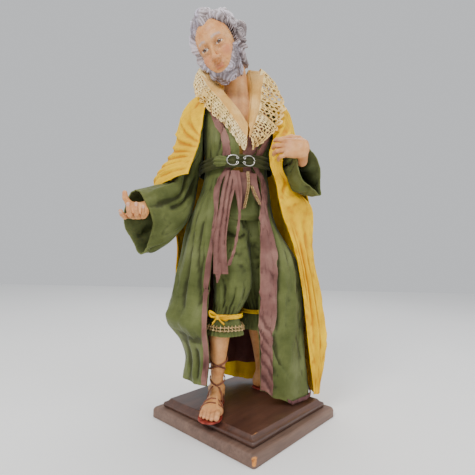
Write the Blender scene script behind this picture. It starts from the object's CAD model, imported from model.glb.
"""A dressed nativity figure on a wooden plinth: silk clothes, lace collar, painted head and hands.

Lengths are in millimetres until a mesh is made. West is -X, the figure's own right side.
A bearing is an angle seen from above: 0 is the front (-Y), 90 west, 180 the back, 270 east.
"""

import itertools
import math

import bpy
import numpy as np
import openvdb
from mathutils import Matrix, Vector
from mathutils.bvhtree import BVHTree
from numpy import cos, pi, sin


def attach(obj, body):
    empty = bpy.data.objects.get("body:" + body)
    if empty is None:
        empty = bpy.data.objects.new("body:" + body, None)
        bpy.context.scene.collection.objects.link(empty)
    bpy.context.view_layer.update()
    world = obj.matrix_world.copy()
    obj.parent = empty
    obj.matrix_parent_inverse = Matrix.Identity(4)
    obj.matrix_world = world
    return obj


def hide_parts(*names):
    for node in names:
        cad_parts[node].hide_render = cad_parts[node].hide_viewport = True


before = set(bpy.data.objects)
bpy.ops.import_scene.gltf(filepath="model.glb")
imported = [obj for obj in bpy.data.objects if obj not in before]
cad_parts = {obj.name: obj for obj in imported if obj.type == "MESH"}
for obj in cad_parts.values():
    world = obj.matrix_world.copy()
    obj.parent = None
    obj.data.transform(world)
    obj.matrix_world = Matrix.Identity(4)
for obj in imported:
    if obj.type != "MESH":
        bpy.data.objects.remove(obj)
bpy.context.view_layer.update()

MM = 0.001
RAD = pi / 180
PLINTH_TOP = 18.0
LOWER_BOARD, UPPER_BOARD = 131.4, 107.2
HEAD_VOXEL, HAND_VOXEL, LEG_VOXEL = 0.66, 0.56, 0.75
# Thickness of each cloth.
COAT_SILK, SLEEVE_SILK, CLOAK_SILK, THIN_SILK, LINEN_CLOTH = 1.15, 1.0, 1.25, 0.8, 0.8
GOLDEN_TURN = 2.399963


def lerp(a, b, t):
    return a + (b - a) * t


def smooth(t):
    t = np.clip(t, 0, 1)
    return t * t * (3 - 2 * t)


def bell(x, centre, width):
    return np.exp(-(((x - centre) / width) ** 2))


def unit(v):
    v = np.asarray(v, float)
    return v / np.maximum(np.linalg.norm(v, axis=-1, keepdims=True), 1e-9)


def stops(pairs):
    """A value that follows smooth steps between named places."""
    pairs = np.array(pairs, float)

    def at(x):
        k = np.clip(np.searchsorted(pairs[:, 0], x, side="right") - 1, 0, len(pairs) - 2)
        low, high = pairs[k], pairs[k + 1]
        return lerp(low[..., 1], high[..., 1], smooth((x - low[..., 0]) / (high[..., 0] - low[..., 0])))

    return at


def lattice(i, j, k, seed):
    n = (i * 73856093) ^ (j * 19349663) ^ (k * 83492791) ^ (seed * 2654435761)
    n = ((n ^ (n >> 13)) * 1274126177) & 0x7FFFFFFF
    n = ((n ^ (n >> 11)) * 668265263) & 0x7FFFFFFF
    return n / 0x3FFFFFFF - 1


def noise(p, seed=0):
    """Smooth noise from -1 to 1 at points p, with features about one unit wide."""
    p = np.asarray(p, float)
    base = np.floor(p).astype(np.int64)
    f = p - base
    w = f * f * (3 - 2 * f)
    total = 0
    for corner in range(8):
        d = [(corner >> axis) & 1 for axis in range(3)]
        weight = 1
        for axis in range(3):
            weight = weight * (w[..., axis] if d[axis] else 1 - w[..., axis])
        i, j, k = (base[..., axis] + d[axis] for axis in range(3))
        total = total + weight * lattice(i, j, k, seed)
    return total


def layered(p, seed=0, layers=3):
    p = np.asarray(p, float)
    return sum(noise(p * 2**k, seed + k) / 2**k for k in range(layers))


def noise_flat(x, y, seed):
    return noise(stacked(x, y, 0), seed)


def layered_flat(x, y, seed, layers=3):
    return layered(stacked(x, y, 0), seed, layers)


def crimp(x, y, seed, sharp=0.1):
    """Narrow creases, from 0 to -1, along the winding lines where a noise changes its sign."""
    n = layered_flat(x, y, seed, 2)
    return -np.exp(-np.abs(n) / sharp) * smooth(0.5 + 1.5 * noise_flat(x / 2.3, y / 2.3, seed + 3))


def stacked(*parts):
    return np.stack(np.broadcast_arrays(*parts), axis=-1)


def grid(columns, rows, ring=False):
    """Places u and v over a sheet. A ring leaves out the last column, which would repeat the first."""
    v, u = np.meshgrid(np.linspace(0, 1, rows + 1), np.linspace(0, 1, columns + 1), indexing="ij")
    return (u[:, :-1], v[:, :-1]) if ring else (u, v)


# Materials


class Shader:
    def __init__(self, name, **constants):
        self.material = bpy.data.materials.new(name)
        self.material.use_nodes = True
        self.tree = self.material.node_tree
        self.surface = self.tree.nodes["Principled BSDF"]
        for socket, value in constants.items():
            self.surface.inputs[socket.replace("_", " ")].default_value = value

    def add(self, kind, inputs=(), **settings):
        node = self.tree.nodes.new("ShaderNode" + kind)
        for key, value in settings.items():
            setattr(node, key, value)
        for key, value in dict(inputs).items():
            if isinstance(value, bpy.types.NodeSocket):
                self.tree.links.new(value, node.inputs[key])
            else:
                node.inputs[key].default_value = value
        return node

    def place(self, source, scale):
        coords = self.add("TexCoord")
        mapping = self.add("Mapping", {"Vector": coords.outputs[source], "Scale": scale})
        return mapping.outputs["Vector"]

    def noise(self, source, scale, detail=3.0, rough=0.55):
        scale = (scale,) * 3 if np.isscalar(scale) else scale
        node = self.add("TexNoise", {"Vector": self.place(source, scale), "Scale": 1.0, "Detail": detail,
                                     "Roughness": rough})
        return node.outputs["Fac"]

    def ramp(self, value, colours):
        """colours are display codes or linear values by their place."""
        node = self.add("ValToRGB", {"Fac": value})
        points = node.color_ramp.elements
        while len(points) < len(colours):
            points.new(0.5)
        for point, (position, colour) in zip(points, colours.items()):
            point.position = position
            point.color = (*(rgb(colour) if isinstance(colour, int) else colour), 1)
        return node.outputs["Color"]

    def mix(self, fac, a, b, how="MIX"):
        node = self.add("Mix", data_type="RGBA", blend_type=how)
        for socket, value in ((0, fac), (6, a), (7, b)):
            if isinstance(value, bpy.types.NodeSocket):
                self.tree.links.new(value, node.inputs[socket])
            else:
                node.inputs[socket].default_value = value if np.isscalar(value) else (*value, 1)
        return node.outputs[2]

    def math(self, how, a, b):
        node = self.add("Math", operation=how)
        for socket, value in enumerate((a, b)):
            if isinstance(value, bpy.types.NodeSocket):
                self.tree.links.new(value, node.inputs[socket])
            else:
                node.inputs[socket].default_value = value
        return node.outputs[0]

    def attribute(self, name):
        return self.add("Attribute", attribute_name=name).outputs

    def finish(self, colour, rough, heights):
        """heights are (value, strength, distance in mm) from coarse to fine."""
        self.tree.links.new(colour, self.surface.inputs["Base Color"])
        if rough is not None:
            self.tree.links.new(rough, self.surface.inputs["Roughness"])
        normal = None
        for value, strength, distance in heights:
            bump = self.add("Bump", {"Height": value, "Strength": strength, "Distance": distance * MM})
            if normal is not None:
                self.tree.links.new(normal, bump.inputs["Normal"])
            normal = bump.outputs["Normal"]
        if normal is not None:
            self.tree.links.new(normal, self.surface.inputs["Normal"])
        return self.material


def rgb(code):
    """A display colour such as 0x6f7a4c as linear light."""
    parts = [((code >> shift) & 255) / 255 for shift in (16, 8, 0)]
    return tuple(c / 12.92 if c <= 0.04045 else ((c + 0.055) / 1.055) ** 2.4 for c in parts)


def silk(name, dark, body, light, rough=0.62, sheen=0.1, pitch=0.32, slub=0.5, crumple=0.6,
         fold=(0.4, 0.38, 0.34)):
    """Plain woven silk. The weave follows the sheet's own UV map, which is in millimetres."""
    s = Shader(name, Sheen_Weight=sheen, Sheen_Roughness=0.45, Specular_IOR_Level=0.14)
    blotch = s.noise("Object", 34.0, 4.0)
    colour = s.ramp(blotch, {0.3: dark, 0.5: body, 0.72: light})
    threads = s.noise("UV", (2.6, 0.05, 1.0), 3.0, 0.6)
    weft = s.noise("UV", (0.05, 2.6, 1.0), 3.0, 0.6)
    slubs = s.math("ADD", threads, weft)
    streaks = s.ramp(s.math("MULTIPLY", slubs, 0.5), {0.38: (0.78, 0.78, 0.78), 0.62: (1.1, 1.1, 1.1)})
    colour = s.mix(0.75, colour, streaks, "MULTIPLY")
    worn = s.ramp(s.attribute("edge")["Fac"], {0.0: (1, 1, 1), 1.0: (1.18, 1.16, 1.12)})
    colour = s.mix(1.0, colour, worn, "MULTIPLY")
    creased = s.ramp(s.attribute("dip")["Fac"], {0.0: (1.12, 1.12, 1.1), 0.35: (1, 1, 1), 1.0: fold})
    colour = s.mix(1.0, colour, creased, "MULTIPLY")
    waves = []
    for direction in ("X", "Y"):
        wave = s.add("TexWave", {"Vector": s.place("UV", (1 / pitch / 3.2,) * 3), "Scale": 1.0,
                                 "Distortion": 0.6, "Detail": 1.0, "Detail Scale": 2.0},
                     wave_type="BANDS", bands_direction=direction)
        waves.append(wave.outputs["Fac"])
    weave = s.math("MULTIPLY", waves[0], waves[1])
    rough_map = s.math("ADD", s.math("MULTIPLY", s.noise("Object", 120.0), 0.16), rough - 0.08)
    return s.finish(colour, rough_map, [
        (s.noise("Object", (210.0, 210.0, 150.0), 4.0, 0.6), crumple, 0.9),
        (slubs, slub, 0.16), (weave, 0.5, 0.07)])


GREEN = silk("green_silk", 0x434A22, 0x585F33, 0x6C7248, rough=0.55)
GREEN_BELT = silk("green_belt_silk", 0x282A14, 0x383A1E, 0x494B2C, rough=0.55)
YELLOW = silk("yellow_silk", 0xCF9C00, 0xE2B200, 0xF0C600, rough=0.6, sheen=0.0, pitch=0.45, slub=0.8,
              fold=(0.8, 0.55, 0.2))
MAUVE = silk("mauve_silk", 0x5A3A34, 0x75504A, 0x8F6A60, rough=0.52, fold=(0.55, 0.48, 0.48))
DARK_MAUVE = silk("dark_mauve_silk", 0x45282A, 0x573536, 0x6A4645, rough=0.55, fold=(0.6, 0.5, 0.5))
LINING = silk("maroon_lining", 0x432420, 0x532F2A, 0x643E36, rough=0.65, sheen=0.05)
CUFF_LINING = silk("dark_cuff_lining", 0x3A4022, 0x4C5330, 0x5E6540, rough=0.7, sheen=0.05)
LINEN = silk("cream_linen", 0xB5813A, 0xD09F55, 0xE2B877, rough=0.75, sheen=0.02, pitch=0.5, slub=0.9,
             fold=(0.62, 0.5, 0.36))
LACE = silk("cream_lace", 0xCDA557, 0xEBCB85, 0xFBE6B4, rough=0.8, sheen=0.02, pitch=0.8, slub=1.0,
            crumple=1.0, fold=(0.6, 0.48, 0.34))


def speckled(name, colours, scale, detail, rough, spread, heights=(), **constants):
    """One noise gives colour and roughness. heights are (grain or None for it, strength, distance)."""
    s = Shader(name, **constants)
    blotch = s.noise("Object", scale, detail)
    rough_map = s.math("ADD", s.math("MULTIPLY", blotch, spread), rough)
    return s.finish(s.ramp(blotch, colours), rough_map, [
        (blotch if grain is None else s.noise("Object", grain), strength, distance)
        for grain, strength, distance in heights])


def gloss(name, dark, light, scale=400.0):
    return speckled(name, {0.35: dark, 0.65: light}, scale, 2.0, 0.1, 0.05, Specular_IOR_Level=0.6,
                    Coat_Weight=0.6, Coat_Roughness=0.08)


def painted_skin():
    """Oil paint on terracotta. The paint attribute holds rouge, lips and shading laid on by hand."""
    s = Shader("painted_skin", Specular_IOR_Level=0.3, Coat_Weight=0.06, Coat_Roughness=0.35,
               Subsurface_Weight=0.06, Subsurface_Scale=0.003)
    s.surface.inputs["Subsurface Radius"].default_value = (1.0, 0.4, 0.25)
    blotch = s.noise("Object", 90.0, 4.0)
    base = s.ramp(blotch, {0.3: 0xC0814A, 0.52: 0xD89C60, 0.75: 0xE6B078})
    paint = s.attribute("paint")
    colour = s.mix(paint["Alpha"], base, paint["Color"])
    mottled = s.ramp(s.noise("Object", 420.0, 3.0), {0.35: (0.93, 0.92, 0.91), 0.65: (1.04, 1.03, 1.02)})
    colour = s.mix(1.0, colour, mottled, "MULTIPLY")
    rough = s.math("ADD", s.math("MULTIPLY", blotch, 0.22), 0.36)
    return s.finish(colour, rough, [(s.noise("Object", 300.0, 3.0), 0.1, 0.25),
                                    (s.noise("Object", 1500.0), 0.1, 0.06)])


def painted_hair():
    s = Shader("painted_hair", Specular_IOR_Level=0.4, Coat_Weight=0.1, Coat_Roughness=0.4)
    blotch = s.noise("Object", 150.0, 4.0)
    base = s.ramp(blotch, {0.3: 0x756E7A, 0.5: 0x9890A0, 0.74: 0xC2BCCB})
    paint = s.attribute("paint")
    colour = s.mix(paint["Alpha"], base, paint["Color"])
    strands = s.noise("UV", (9.0, 0.35, 1.0), 3.0, 0.6)
    shade = s.ramp(strands, {0.34: (0.74, 0.72, 0.72), 0.62: (1.1, 1.1, 1.1)})
    colour = s.mix(0.8, colour, shade, "MULTIPLY")
    return s.finish(colour, s.math("ADD", s.math("MULTIPLY", blotch, 0.2), 0.42), [(strands, 0.7, 0.35)])


def wood(name, colours, rough, worn):
    """Stained boards. The grain runs along the board's side, and the worn attribute bares the wood."""
    s = Shader(name, Specular_IOR_Level=0.45, Coat_Weight=0.25 if rough < 0.4 else 0.05,
               Coat_Roughness=0.25)
    turned = s.add("Mapping", {"Vector": s.add("TexCoord").outputs["Object"],
                               "Rotation": (0, 0, -45 * RAD)})
    bend = s.add("TexNoise", {"Vector": turned.outputs["Vector"], "Scale": 22.0, "Detail": 2.0})
    bent = s.add("VectorMath", {0: bend.outputs["Color"], 1: (0.004, 0.008, 0.004)}, operation="MULTIPLY")
    moved = s.add("VectorMath", {0: turned.outputs["Vector"], 1: bent.outputs[0]}, operation="ADD")
    fibre, bands = (s.add("TexNoise", {
        "Vector": s.add("Mapping", {"Vector": moved.outputs[0], "Scale": scale}).outputs["Vector"],
        "Scale": 1.0, "Detail": detail}).outputs["Fac"]
        for scale, detail in (((24.0, 620.0, 620.0), 5.0), ((7.0, 95.0, 95.0), 3.0)))
    figure = s.math("ADD", s.math("MULTIPLY", fibre, 0.45), s.math("MULTIPLY", bands, 0.55))
    colour = s.ramp(figure, {0.36: colours[0], 0.5: colours[1], 0.66: colours[2]})
    smear = s.noise("Object", 30.0, 3.0)
    colour = s.mix(s.math("MULTIPLY", smear, 0.5), colour, rgb(colours[3]))
    bare = s.ramp(fibre, {0.3: 0x8C4A1A, 0.55: 0xC97F35, 0.8: 0xE3A45A})
    patches = s.math("MULTIPLY", s.attribute("worn")["Fac"], s.math("ADD", fibre, 0.55))
    sharp = s.ramp(patches, {0.42: (0, 0, 0), 0.6: (1, 1, 1)})
    colour = s.mix(s.math("MULTIPLY", sharp, worn), colour, bare)
    rough_map = s.math("ADD", s.math("MULTIPLY", fibre, 0.2), rough - 0.1)
    return s.finish(colour, rough_map, [(fibre, 0.35, 0.25), (s.noise("Object", 260.0, 4.0), 0.25, 0.3)])


GOLD = speckled("gold_thread", {0.3: 0x7A5C3A, 0.52: 0xC0A06C, 0.75: 0xE6D09C}, 700.0, 3.0, 0.25, 0.3,
                [(None, 0.5, 0.15)], Metallic=0.55, Specular_IOR_Level=0.5)
SILVER = speckled("silver_wire", {0.3: 0x9A9890, 0.6: 0xE4E2DA}, 260.0, 4.0, 0.12, 0.22,
                  [(None, 0.15, 0.1)], Metallic=1.0)
LEATHER = speckled("brown_leather", {0.3: 0x5E3420, 0.55: 0x83503A, 0.78: 0x9C6A4C}, 180.0, 4.0, 0.45, 0.25,
                   [(900.0, 0.4, 0.12)], Specular_IOR_Level=0.35)
RED_LEATHER = speckled("red_leather", {0.3: 0x6E221C, 0.55: 0x9A3A2C, 0.78: 0xB65A44}, 220.0, 4.0, 0.4,
                       0.25, [(None, 0.3, 0.15)], Specular_IOR_Level=0.35)
SKIN = painted_skin()
HAIR = painted_hair()
EYE_WHITE = gloss("eye_white", 0xDCD2C2, 0xEFE9DE)
IRIS = gloss("brown_iris", 0x3A2010, 0x6A4222, 2500.0)
PUPIL = gloss("black_pupil", 0x0B0908, 0x15110F)
TOP_WOOD = wood("plinth_top_wood", (0x2E1811, 0x42241A, 0x573528, 0x6A5145), 0.36, 0.8)
SIDE_WOOD = wood("plinth_side_wood", (0x4A342B, 0x644A3F, 0x7B6052, 0x8A7264), 0.55, 1.0)


# Meshes


def put_attribute(mesh, name, values):
    values = np.asarray(values, np.float32)
    if values.ndim == 1:
        mesh.attributes.new(name, "FLOAT", "POINT").data.foreach_set("value", values)
    else:
        mesh.attributes.new(name, "FLOAT_COLOR", "POINT").data.foreach_set("color", values.ravel())


def make(name, node, points, faces, materials, slot, index=None, attributes=(), uv=None, crease=48,
         closed=False):
    """A mesh object from points in millimetres, drawn for a CAD node. uv is one pair a face corner."""
    mesh = bpy.data.meshes.new(name)
    points = np.asarray(points, float) * MM
    if isinstance(faces, list):
        sizes, corners = np.array([len(f) for f in faces]), np.concatenate([np.asarray(f) for f in faces])
    else:
        sizes, corners = np.full(len(faces), faces.shape[1]), faces.ravel()
    mesh.vertices.add(len(points))
    mesh.vertices.foreach_set("co", points.ravel())
    mesh.loops.add(len(corners))
    mesh.loops.foreach_set("vertex_index", corners.astype(np.int32))
    mesh.polygons.add(len(sizes))
    mesh.polygons.foreach_set("loop_start", np.concatenate([[0], np.cumsum(sizes)[:-1]]).astype(np.int32))
    mesh.polygons.foreach_set("use_smooth", np.ones(len(sizes), bool))
    for material in materials:
        mesh.materials.append(material)
    if index is not None:
        mesh.polygons.foreach_set("material_index", np.asarray(index, np.int32))
    mesh.update(calc_edges=True)
    mesh.validate()
    mesh.set_sharp_from_angle(angle=crease * RAD)
    if uv is not None:
        mesh.uv_layers.new(name="cut").data.foreach_set("uv", np.asarray(uv, np.float32).ravel())
    for key, values in dict(attributes).items():
        put_attribute(mesh, key, values)
    obj = bpy.data.objects.new(name, mesh)
    bpy.context.scene.collection.objects.link(obj)
    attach(obj, "root")
    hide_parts(node)
    return outward(obj) if closed else obj


def quads(rows, columns, ring=False):
    """Corner indices of a grid of points, seen from the side that u turns to."""
    i, j = np.meshgrid(np.arange(columns if ring else columns - 1), np.arange(rows - 1))
    i, j = i.ravel(), j.ravel()
    right = (i + 1) % columns
    return np.stack([j * columns + i, (j + 1) * columns + i, (j + 1) * columns + right, j * columns
                     + right], 1)


def normals_of(points, ring=False):
    if ring:
        along = np.roll(points, -1, axis=1) - np.roll(points, 1, axis=1)
    else:
        along = np.gradient(points, axis=1)
    down = np.gradient(points, axis=0)
    return unit(np.cross(along, down))


def lengths_uv(points):
    """The cloth's own measure in millimetres, along its rows and its columns."""
    step_u = np.linalg.norm(np.diff(points, axis=1), axis=2)
    step_v = np.linalg.norm(np.diff(points, axis=0), axis=2)
    u = np.concatenate([np.zeros((points.shape[0], 1)), np.cumsum(step_u, axis=1)], 1)
    v = np.concatenate([np.zeros((1, points.shape[1])), np.cumsum(step_v, axis=0)], 0)
    u = u - u.mean(axis=1, keepdims=True)
    return np.stack([u, v], -1)


def sunk(points, normals, ring, reach):
    """How far each point lies below those reach steps away, in millimetres."""
    mean = np.zeros_like(points)
    count = 0
    for axis in (0, 1):
        for step in (-reach, reach):
            shifted = np.roll(points, step, axis=axis)
            if axis == 0 or not ring:
                edge = [slice(None)] * 3
                edge[axis] = slice(0, step) if step > 0 else slice(step, None)
                shifted[tuple(edge)] = points[tuple(edge)]
            mean += shifted
            count += 1
    return ((mean / count - points) * normals).sum(-1)


def dips(points, normals, ring=False):
    """The dirt and shade in folds, from 0 on a crest over 0.35 on the flat to 1 in a deep fold."""
    near, far = sunk(points, normals, ring, 3), sunk(points, normals, ring, 8)
    return np.clip(0.3 + near / 0.8 + far / 2.6, 0, 1)


RUBBED = 2  # Rows of points along a free edge that are worn paler.


def cloth(name, node, points, thickness, materials, slot, ring=False, keep=None, rim=None, uv=None,
          paint=None):
    """A sheet over a grid of points, its thickness on the inner side. keep drops faces to make holes."""
    rows, columns = points.shape[:2]
    normals = normals_of(points, ring)
    inner = points - normals * thickness
    outer_faces = quads(rows, columns, ring)
    kept = np.ones(len(outer_faces), bool) if keep is None else keep.ravel()
    outer_faces = outer_faces[kept]
    depth = rows * columns
    inner_faces = outer_faces[:, ::-1] + depth
    edges = np.concatenate([outer_faces[:, [k, (k + 1) % 4]] for k in range(4)])
    keys = edges[:, 0].astype(np.int64) * depth + edges[:, 1]
    back = edges[:, 1].astype(np.int64) * depth + edges[:, 0]
    border = edges[~np.isin(keys, back)]
    walls = np.stack([border[:, 1], border[:, 0], border[:, 0] + depth, border[:, 1] + depth], 1)
    faces = np.concatenate([outer_faces, inner_faces, walls])
    index = np.concatenate([np.zeros(len(outer_faces)), np.full(len(inner_faces), len(materials) - 1),
                            np.full(len(walls), 0 if rim is None else rim)])
    flat = (lengths_uv(points) if uv is None else uv).reshape(-1, 2)
    flat = np.concatenate([flat, flat])
    dip = dips(points, normals, ring).ravel()
    edge = np.zeros((rows, columns))
    edge[-RUBBED:] = 1
    if not ring:
        edge[:, :RUBBED] = edge[:, -RUBBED:] = 1
    attributes = {"dip": np.concatenate([dip, np.zeros(depth)]), "edge": np.tile(edge.ravel(), 2)}
    if paint is not None:
        attributes["paint"] = np.tile(paint, (2, 1))
    everything = np.concatenate([points.reshape(-1, 3), inner.reshape(-1, 3)])
    used = np.zeros(len(everything), bool)
    used[faces.ravel()] = True
    renumber = np.cumsum(used) - 1
    return make(name, node, everything[used], renumber[faces], materials, slot, index,
                {k: v[used] for k, v in attributes.items()}, flat[faces.ravel()])


def spline(points, t):
    """A centripetal curve through points, each span taking an equal share of t."""
    points = np.asarray(points, float)
    t = np.asarray(t, float)
    padded = np.concatenate([[2 * points[0] - points[1]], points, [2 * points[-1] - points[-2]]])
    at = np.clip(t, 0, 1) * (len(points) - 1)
    k = np.minimum(at.astype(int), len(points) - 2)
    w = (at - k)[..., None]
    p0, p1, p2, p3 = (padded[k + n] for n in range(4))
    span = [np.maximum(np.linalg.norm(b - a, axis=-1, keepdims=True) ** 0.5, 1e-4)
            for a, b in ((p0, p1), (p1, p2), (p2, p3))]
    m1 = ((p1 - p0) / span[0] - (p2 - p0) / (span[0] + span[1]) + (p2 - p1) / span[1]) * span[1]
    m2 = ((p2 - p1) / span[1] - (p3 - p1) / (span[1] + span[2]) + (p3 - p2) / span[2]) * span[1]
    return (p1 * (2 * w**3 - 3 * w**2 + 1) + p2 * (3 * w**2 - 2 * w**3)
            + m1 * (w**3 - 2 * w**2 + w) + m2 * (w**3 - w**2))


def capped(rings):
    """Points and faces of a closed skin over rings of points."""
    rows, count = rings.shape[:2]
    last = (rows - 1) * count
    faces = [list(q) for q in quads(rows, count, True)]
    faces += [list(range(count)), list(range(last, last + count))[::-1]]
    return rings.reshape(-1, 3), faces


def frames_along(path):
    """Tangents and two cross directions along a path, turned as little as possible."""
    tangents = unit(np.gradient(path, axis=0))
    right = np.cross(tangents[0], (0, 0, 1) if abs(tangents[0][2]) < 0.8 else (1, 0, 0))
    rights = []
    for tangent in tangents:
        right = unit(right - tangent * np.dot(right, tangent))
        rights.append(right)
    rights = np.array(rights)
    return tangents, rights, np.cross(rights, tangents)


def around(centre, r, a, z):
    """Points at angle a round an upright axis."""
    return stacked(centre[0] + r * cos(a), centre[1] + r * sin(a), z)


def tube_parts(path, radius, sides=10):
    """Points and faces of a round tube with domed ends."""
    path = np.asarray(path, float)
    radius = np.broadcast_to(np.asarray(radius, float), len(path)).copy()
    ends = unit(np.stack([path[0] - path[1], path[-1] - path[-2]]))
    path = np.concatenate([[path[0] + ends[0] * radius[0] * 0.6], path,
                           [path[-1] + ends[1] * radius[-1] * 0.6]])
    radius = np.concatenate([[radius[0] * 0.55], radius, [radius[-1] * 0.55]])
    _, right, up = frames_along(path)
    a = np.linspace(0, 2 * pi, sides, endpoint=False)
    rings = (path[:, None] + radius[:, None, None]
             * (right[:, None] * cos(a)[None, :, None] + up[:, None] * sin(a)[None, :, None]))
    return capped(rings)


def gather(parts):
    """Several point and face lists as one."""
    points, faces, offset = [], [], 0
    for part_points, part_faces in parts:
        points.append(part_points)
        faces += [[k + offset for k in face] for face in part_faces]
        offset += len(part_points)
    return np.concatenate(points), faces


def outward(obj):
    """Turns every face of a closed piece to the outside."""
    import bmesh

    bm = bmesh.new()
    bm.from_mesh(obj.data)
    bmesh.ops.recalc_face_normals(bm, faces=bm.faces)
    bm.to_mesh(obj.data)
    bm.free()
    return obj


# Level sections of the clothes, the same as in the part's solids

KEYS = ("z", "x", "y", "west", "east", "front_west", "front_east", "back", "edge_west", "edge_east")


def level_at(rows, z):
    rows = np.asarray(rows, float)
    z = np.asarray(z, float)
    last = len(rows) - 1
    k = np.clip(np.searchsorted(-rows[:, 0], -z, side="left") - 1, 0, last - 1)
    above, below = rows[k], rows[k + 1]
    before, after = rows[np.maximum(k - 1, 0)], rows[np.minimum(k + 2, last)]
    span = (above[..., 0] - below[..., 0])[..., None]
    t = np.clip((above[..., 0] - z)[..., None] / span, 0, 1)
    rise = below - above
    with np.errstate(divide="ignore", invalid="ignore"):
        slope_in = np.where((k > 0)[..., None], rise_over(below - before, span, before, below), rise)
        slope_out = np.where((k + 2 <= last)[..., None], rise_over(after - above, span, above, after), rise)
    t2, t3 = t * t, t * t * t
    value = above * (2 * t3 - 3 * t2 + 1) + below * (3 * t2 - 2 * t3) + slope_in * (t3 - 2 * t2 + t) \
        + slope_out * (t3 - t2)
    return {key: value[..., i] for i, key in enumerate(KEYS[: rows.shape[1]])}


def rise_over(rise, span, high, low):
    return rise * span / (high[..., 0] - low[..., 0])[..., None]


def section_radius(bearing, level):
    s, c = sin(bearing * RAD), cos(bearing * RAD)
    side = np.where(s > 0, level["west"], level["east"])
    front = np.where(s > 0, level["front_west"], level["front_east"])
    return 1 / np.hypot(s / side, c / np.where(c > 0, front, level["back"]))


def section_point(bearing, level, z, radius):
    return stacked(level["x"] - radius * sin(bearing * RAD), level["y"] - radius * cos(bearing * RAD), z)


def on_section(bearing, level, z, lift):
    """A point at that bearing and height, lift outside the level section."""
    return section_point(bearing, level, z, section_radius(bearing, level) + lift)


def fold_depth(folds, bearing, z):
    """Each fold is (bearing, depth, width in degrees, from z, rise, drift in degrees per 100 mm)."""
    depth = 0
    for centre, amount, width, start, rise, drift in folds:
        middle = centre + drift * (start - z) / 100
        depth += amount * smooth((start - z) / rise) * bell(bearing, middle, width)
    return depth


def ridge(x, y, path, width, depth):
    """A fold along a line of places (x, y), fading at its ends and falling off to both sides."""
    path = np.asarray(path, float)
    best = np.full(np.broadcast(x, y).shape, 1e9)
    along = np.zeros_like(best)
    lengths = np.linalg.norm(np.diff(path, axis=0), axis=1)
    total, passed = lengths.sum(), 0.0
    for a, b, length in zip(path[:-1], path[1:], lengths):
        d = (b - a) / length
        t = np.clip((x - a[0]) * d[0] + (y - a[1]) * d[1], 0, length)
        distance = np.hypot(x - a[0] - t * d[0], y - a[1] - t * d[1])
        closer = distance < best
        best = np.where(closer, distance, best)
        along = np.where(closer, (passed + t) / total, along)
        passed += length
    return depth * bell(best, 0, width) * smooth(along / 0.22) * smooth((1 - along) / 0.22)


def ridges(x, y, lines):
    """Each line is its width and height, then x and y of its places in turn."""
    return sum(ridge(x, y, np.reshape(places, (-1, 2)), width, depth) for width, depth, *places in lines)


def ridges_round(degrees, y, lines):
    """Ridges on a tube, where a line may run on over the seam."""
    return sum(ridges(degrees + shift, y, lines) for shift in (-360, 0, 360))


# Plinth


def square_ring(half, corner, steps, along):
    """Points round a square with rounded corners, one corner to the front."""
    ring = []
    for q in range(4):
        middle = (q + 0.5) * 90 * RAD
        cx, cy = (half - corner) * np.sign(math.cos(middle)), (half - corner) * np.sign(math.sin(middle))
        for s in range(steps + 1):
            a = (q + s / steps) * 90 * RAD
            ring.append((cx + corner * math.cos(a), cy + corner * math.sin(a)))
        a = (q + 1) * 90 * RAD
        start = np.array(ring[-1])
        nxt = (q + 1.5) * 90 * RAD
        end = np.array([(half - corner) * np.sign(math.cos(nxt)) + corner * math.cos(a),
                        (half - corner) * np.sign(math.sin(nxt)) + corner * math.sin(a)])
        ring += [tuple(lerp(start, end, k / along)) for k in range(1, along)]
    ring = np.array(ring)
    c, s = math.cos(45 * RAD), math.sin(45 * RAD)
    return np.stack([ring[:, 0] * c - ring[:, 1] * s, ring[:, 0] * s + ring[:, 1] * c], 1)


def board(name, node, half, profile, corner, material, slot, wear):
    """A turned board from (inset, z) pairs, closed by flat rings under it and over it."""
    foot, top = profile[0], profile[-1]
    inner = (0.96, 0.8, 0.55, 0.25, 0.02)
    stations = [(half - foot[0], foot[1], k) for k in reversed(inner)]
    stations += [(half - inset, z, 1) for inset, z in profile]
    stations += [(half - top[0], top[1], k) for k in inner]
    rings = []
    for size, z, k in stations:
        ring = square_ring(size, corner, 4, 40) * k
        rings.append(stacked(ring[:, 0], ring[:, 1], z))
    points = np.array(rings)
    flat = points.copy()
    side = np.abs(points[..., 0]) + np.abs(points[..., 1])
    dent = 0.22 * np.clip(layered(points / 9.0, 4) - 0.35, 0, 1)
    edge = bell(side, half * math.sqrt(2) - profile[-1][0], 3.4) * bell(points[..., 2], top[1], 2.0)
    points[..., 2] -= dent * edge
    worn = np.clip(wear(*np.moveaxis(flat, -1, 0)) + 0.25 * layered(flat / 6.0, 9), 0, 1)
    make(name, node, *capped(points), [material], slot, attributes={"worn": worn.ravel()}, crease=40,
         closed=True)


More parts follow.
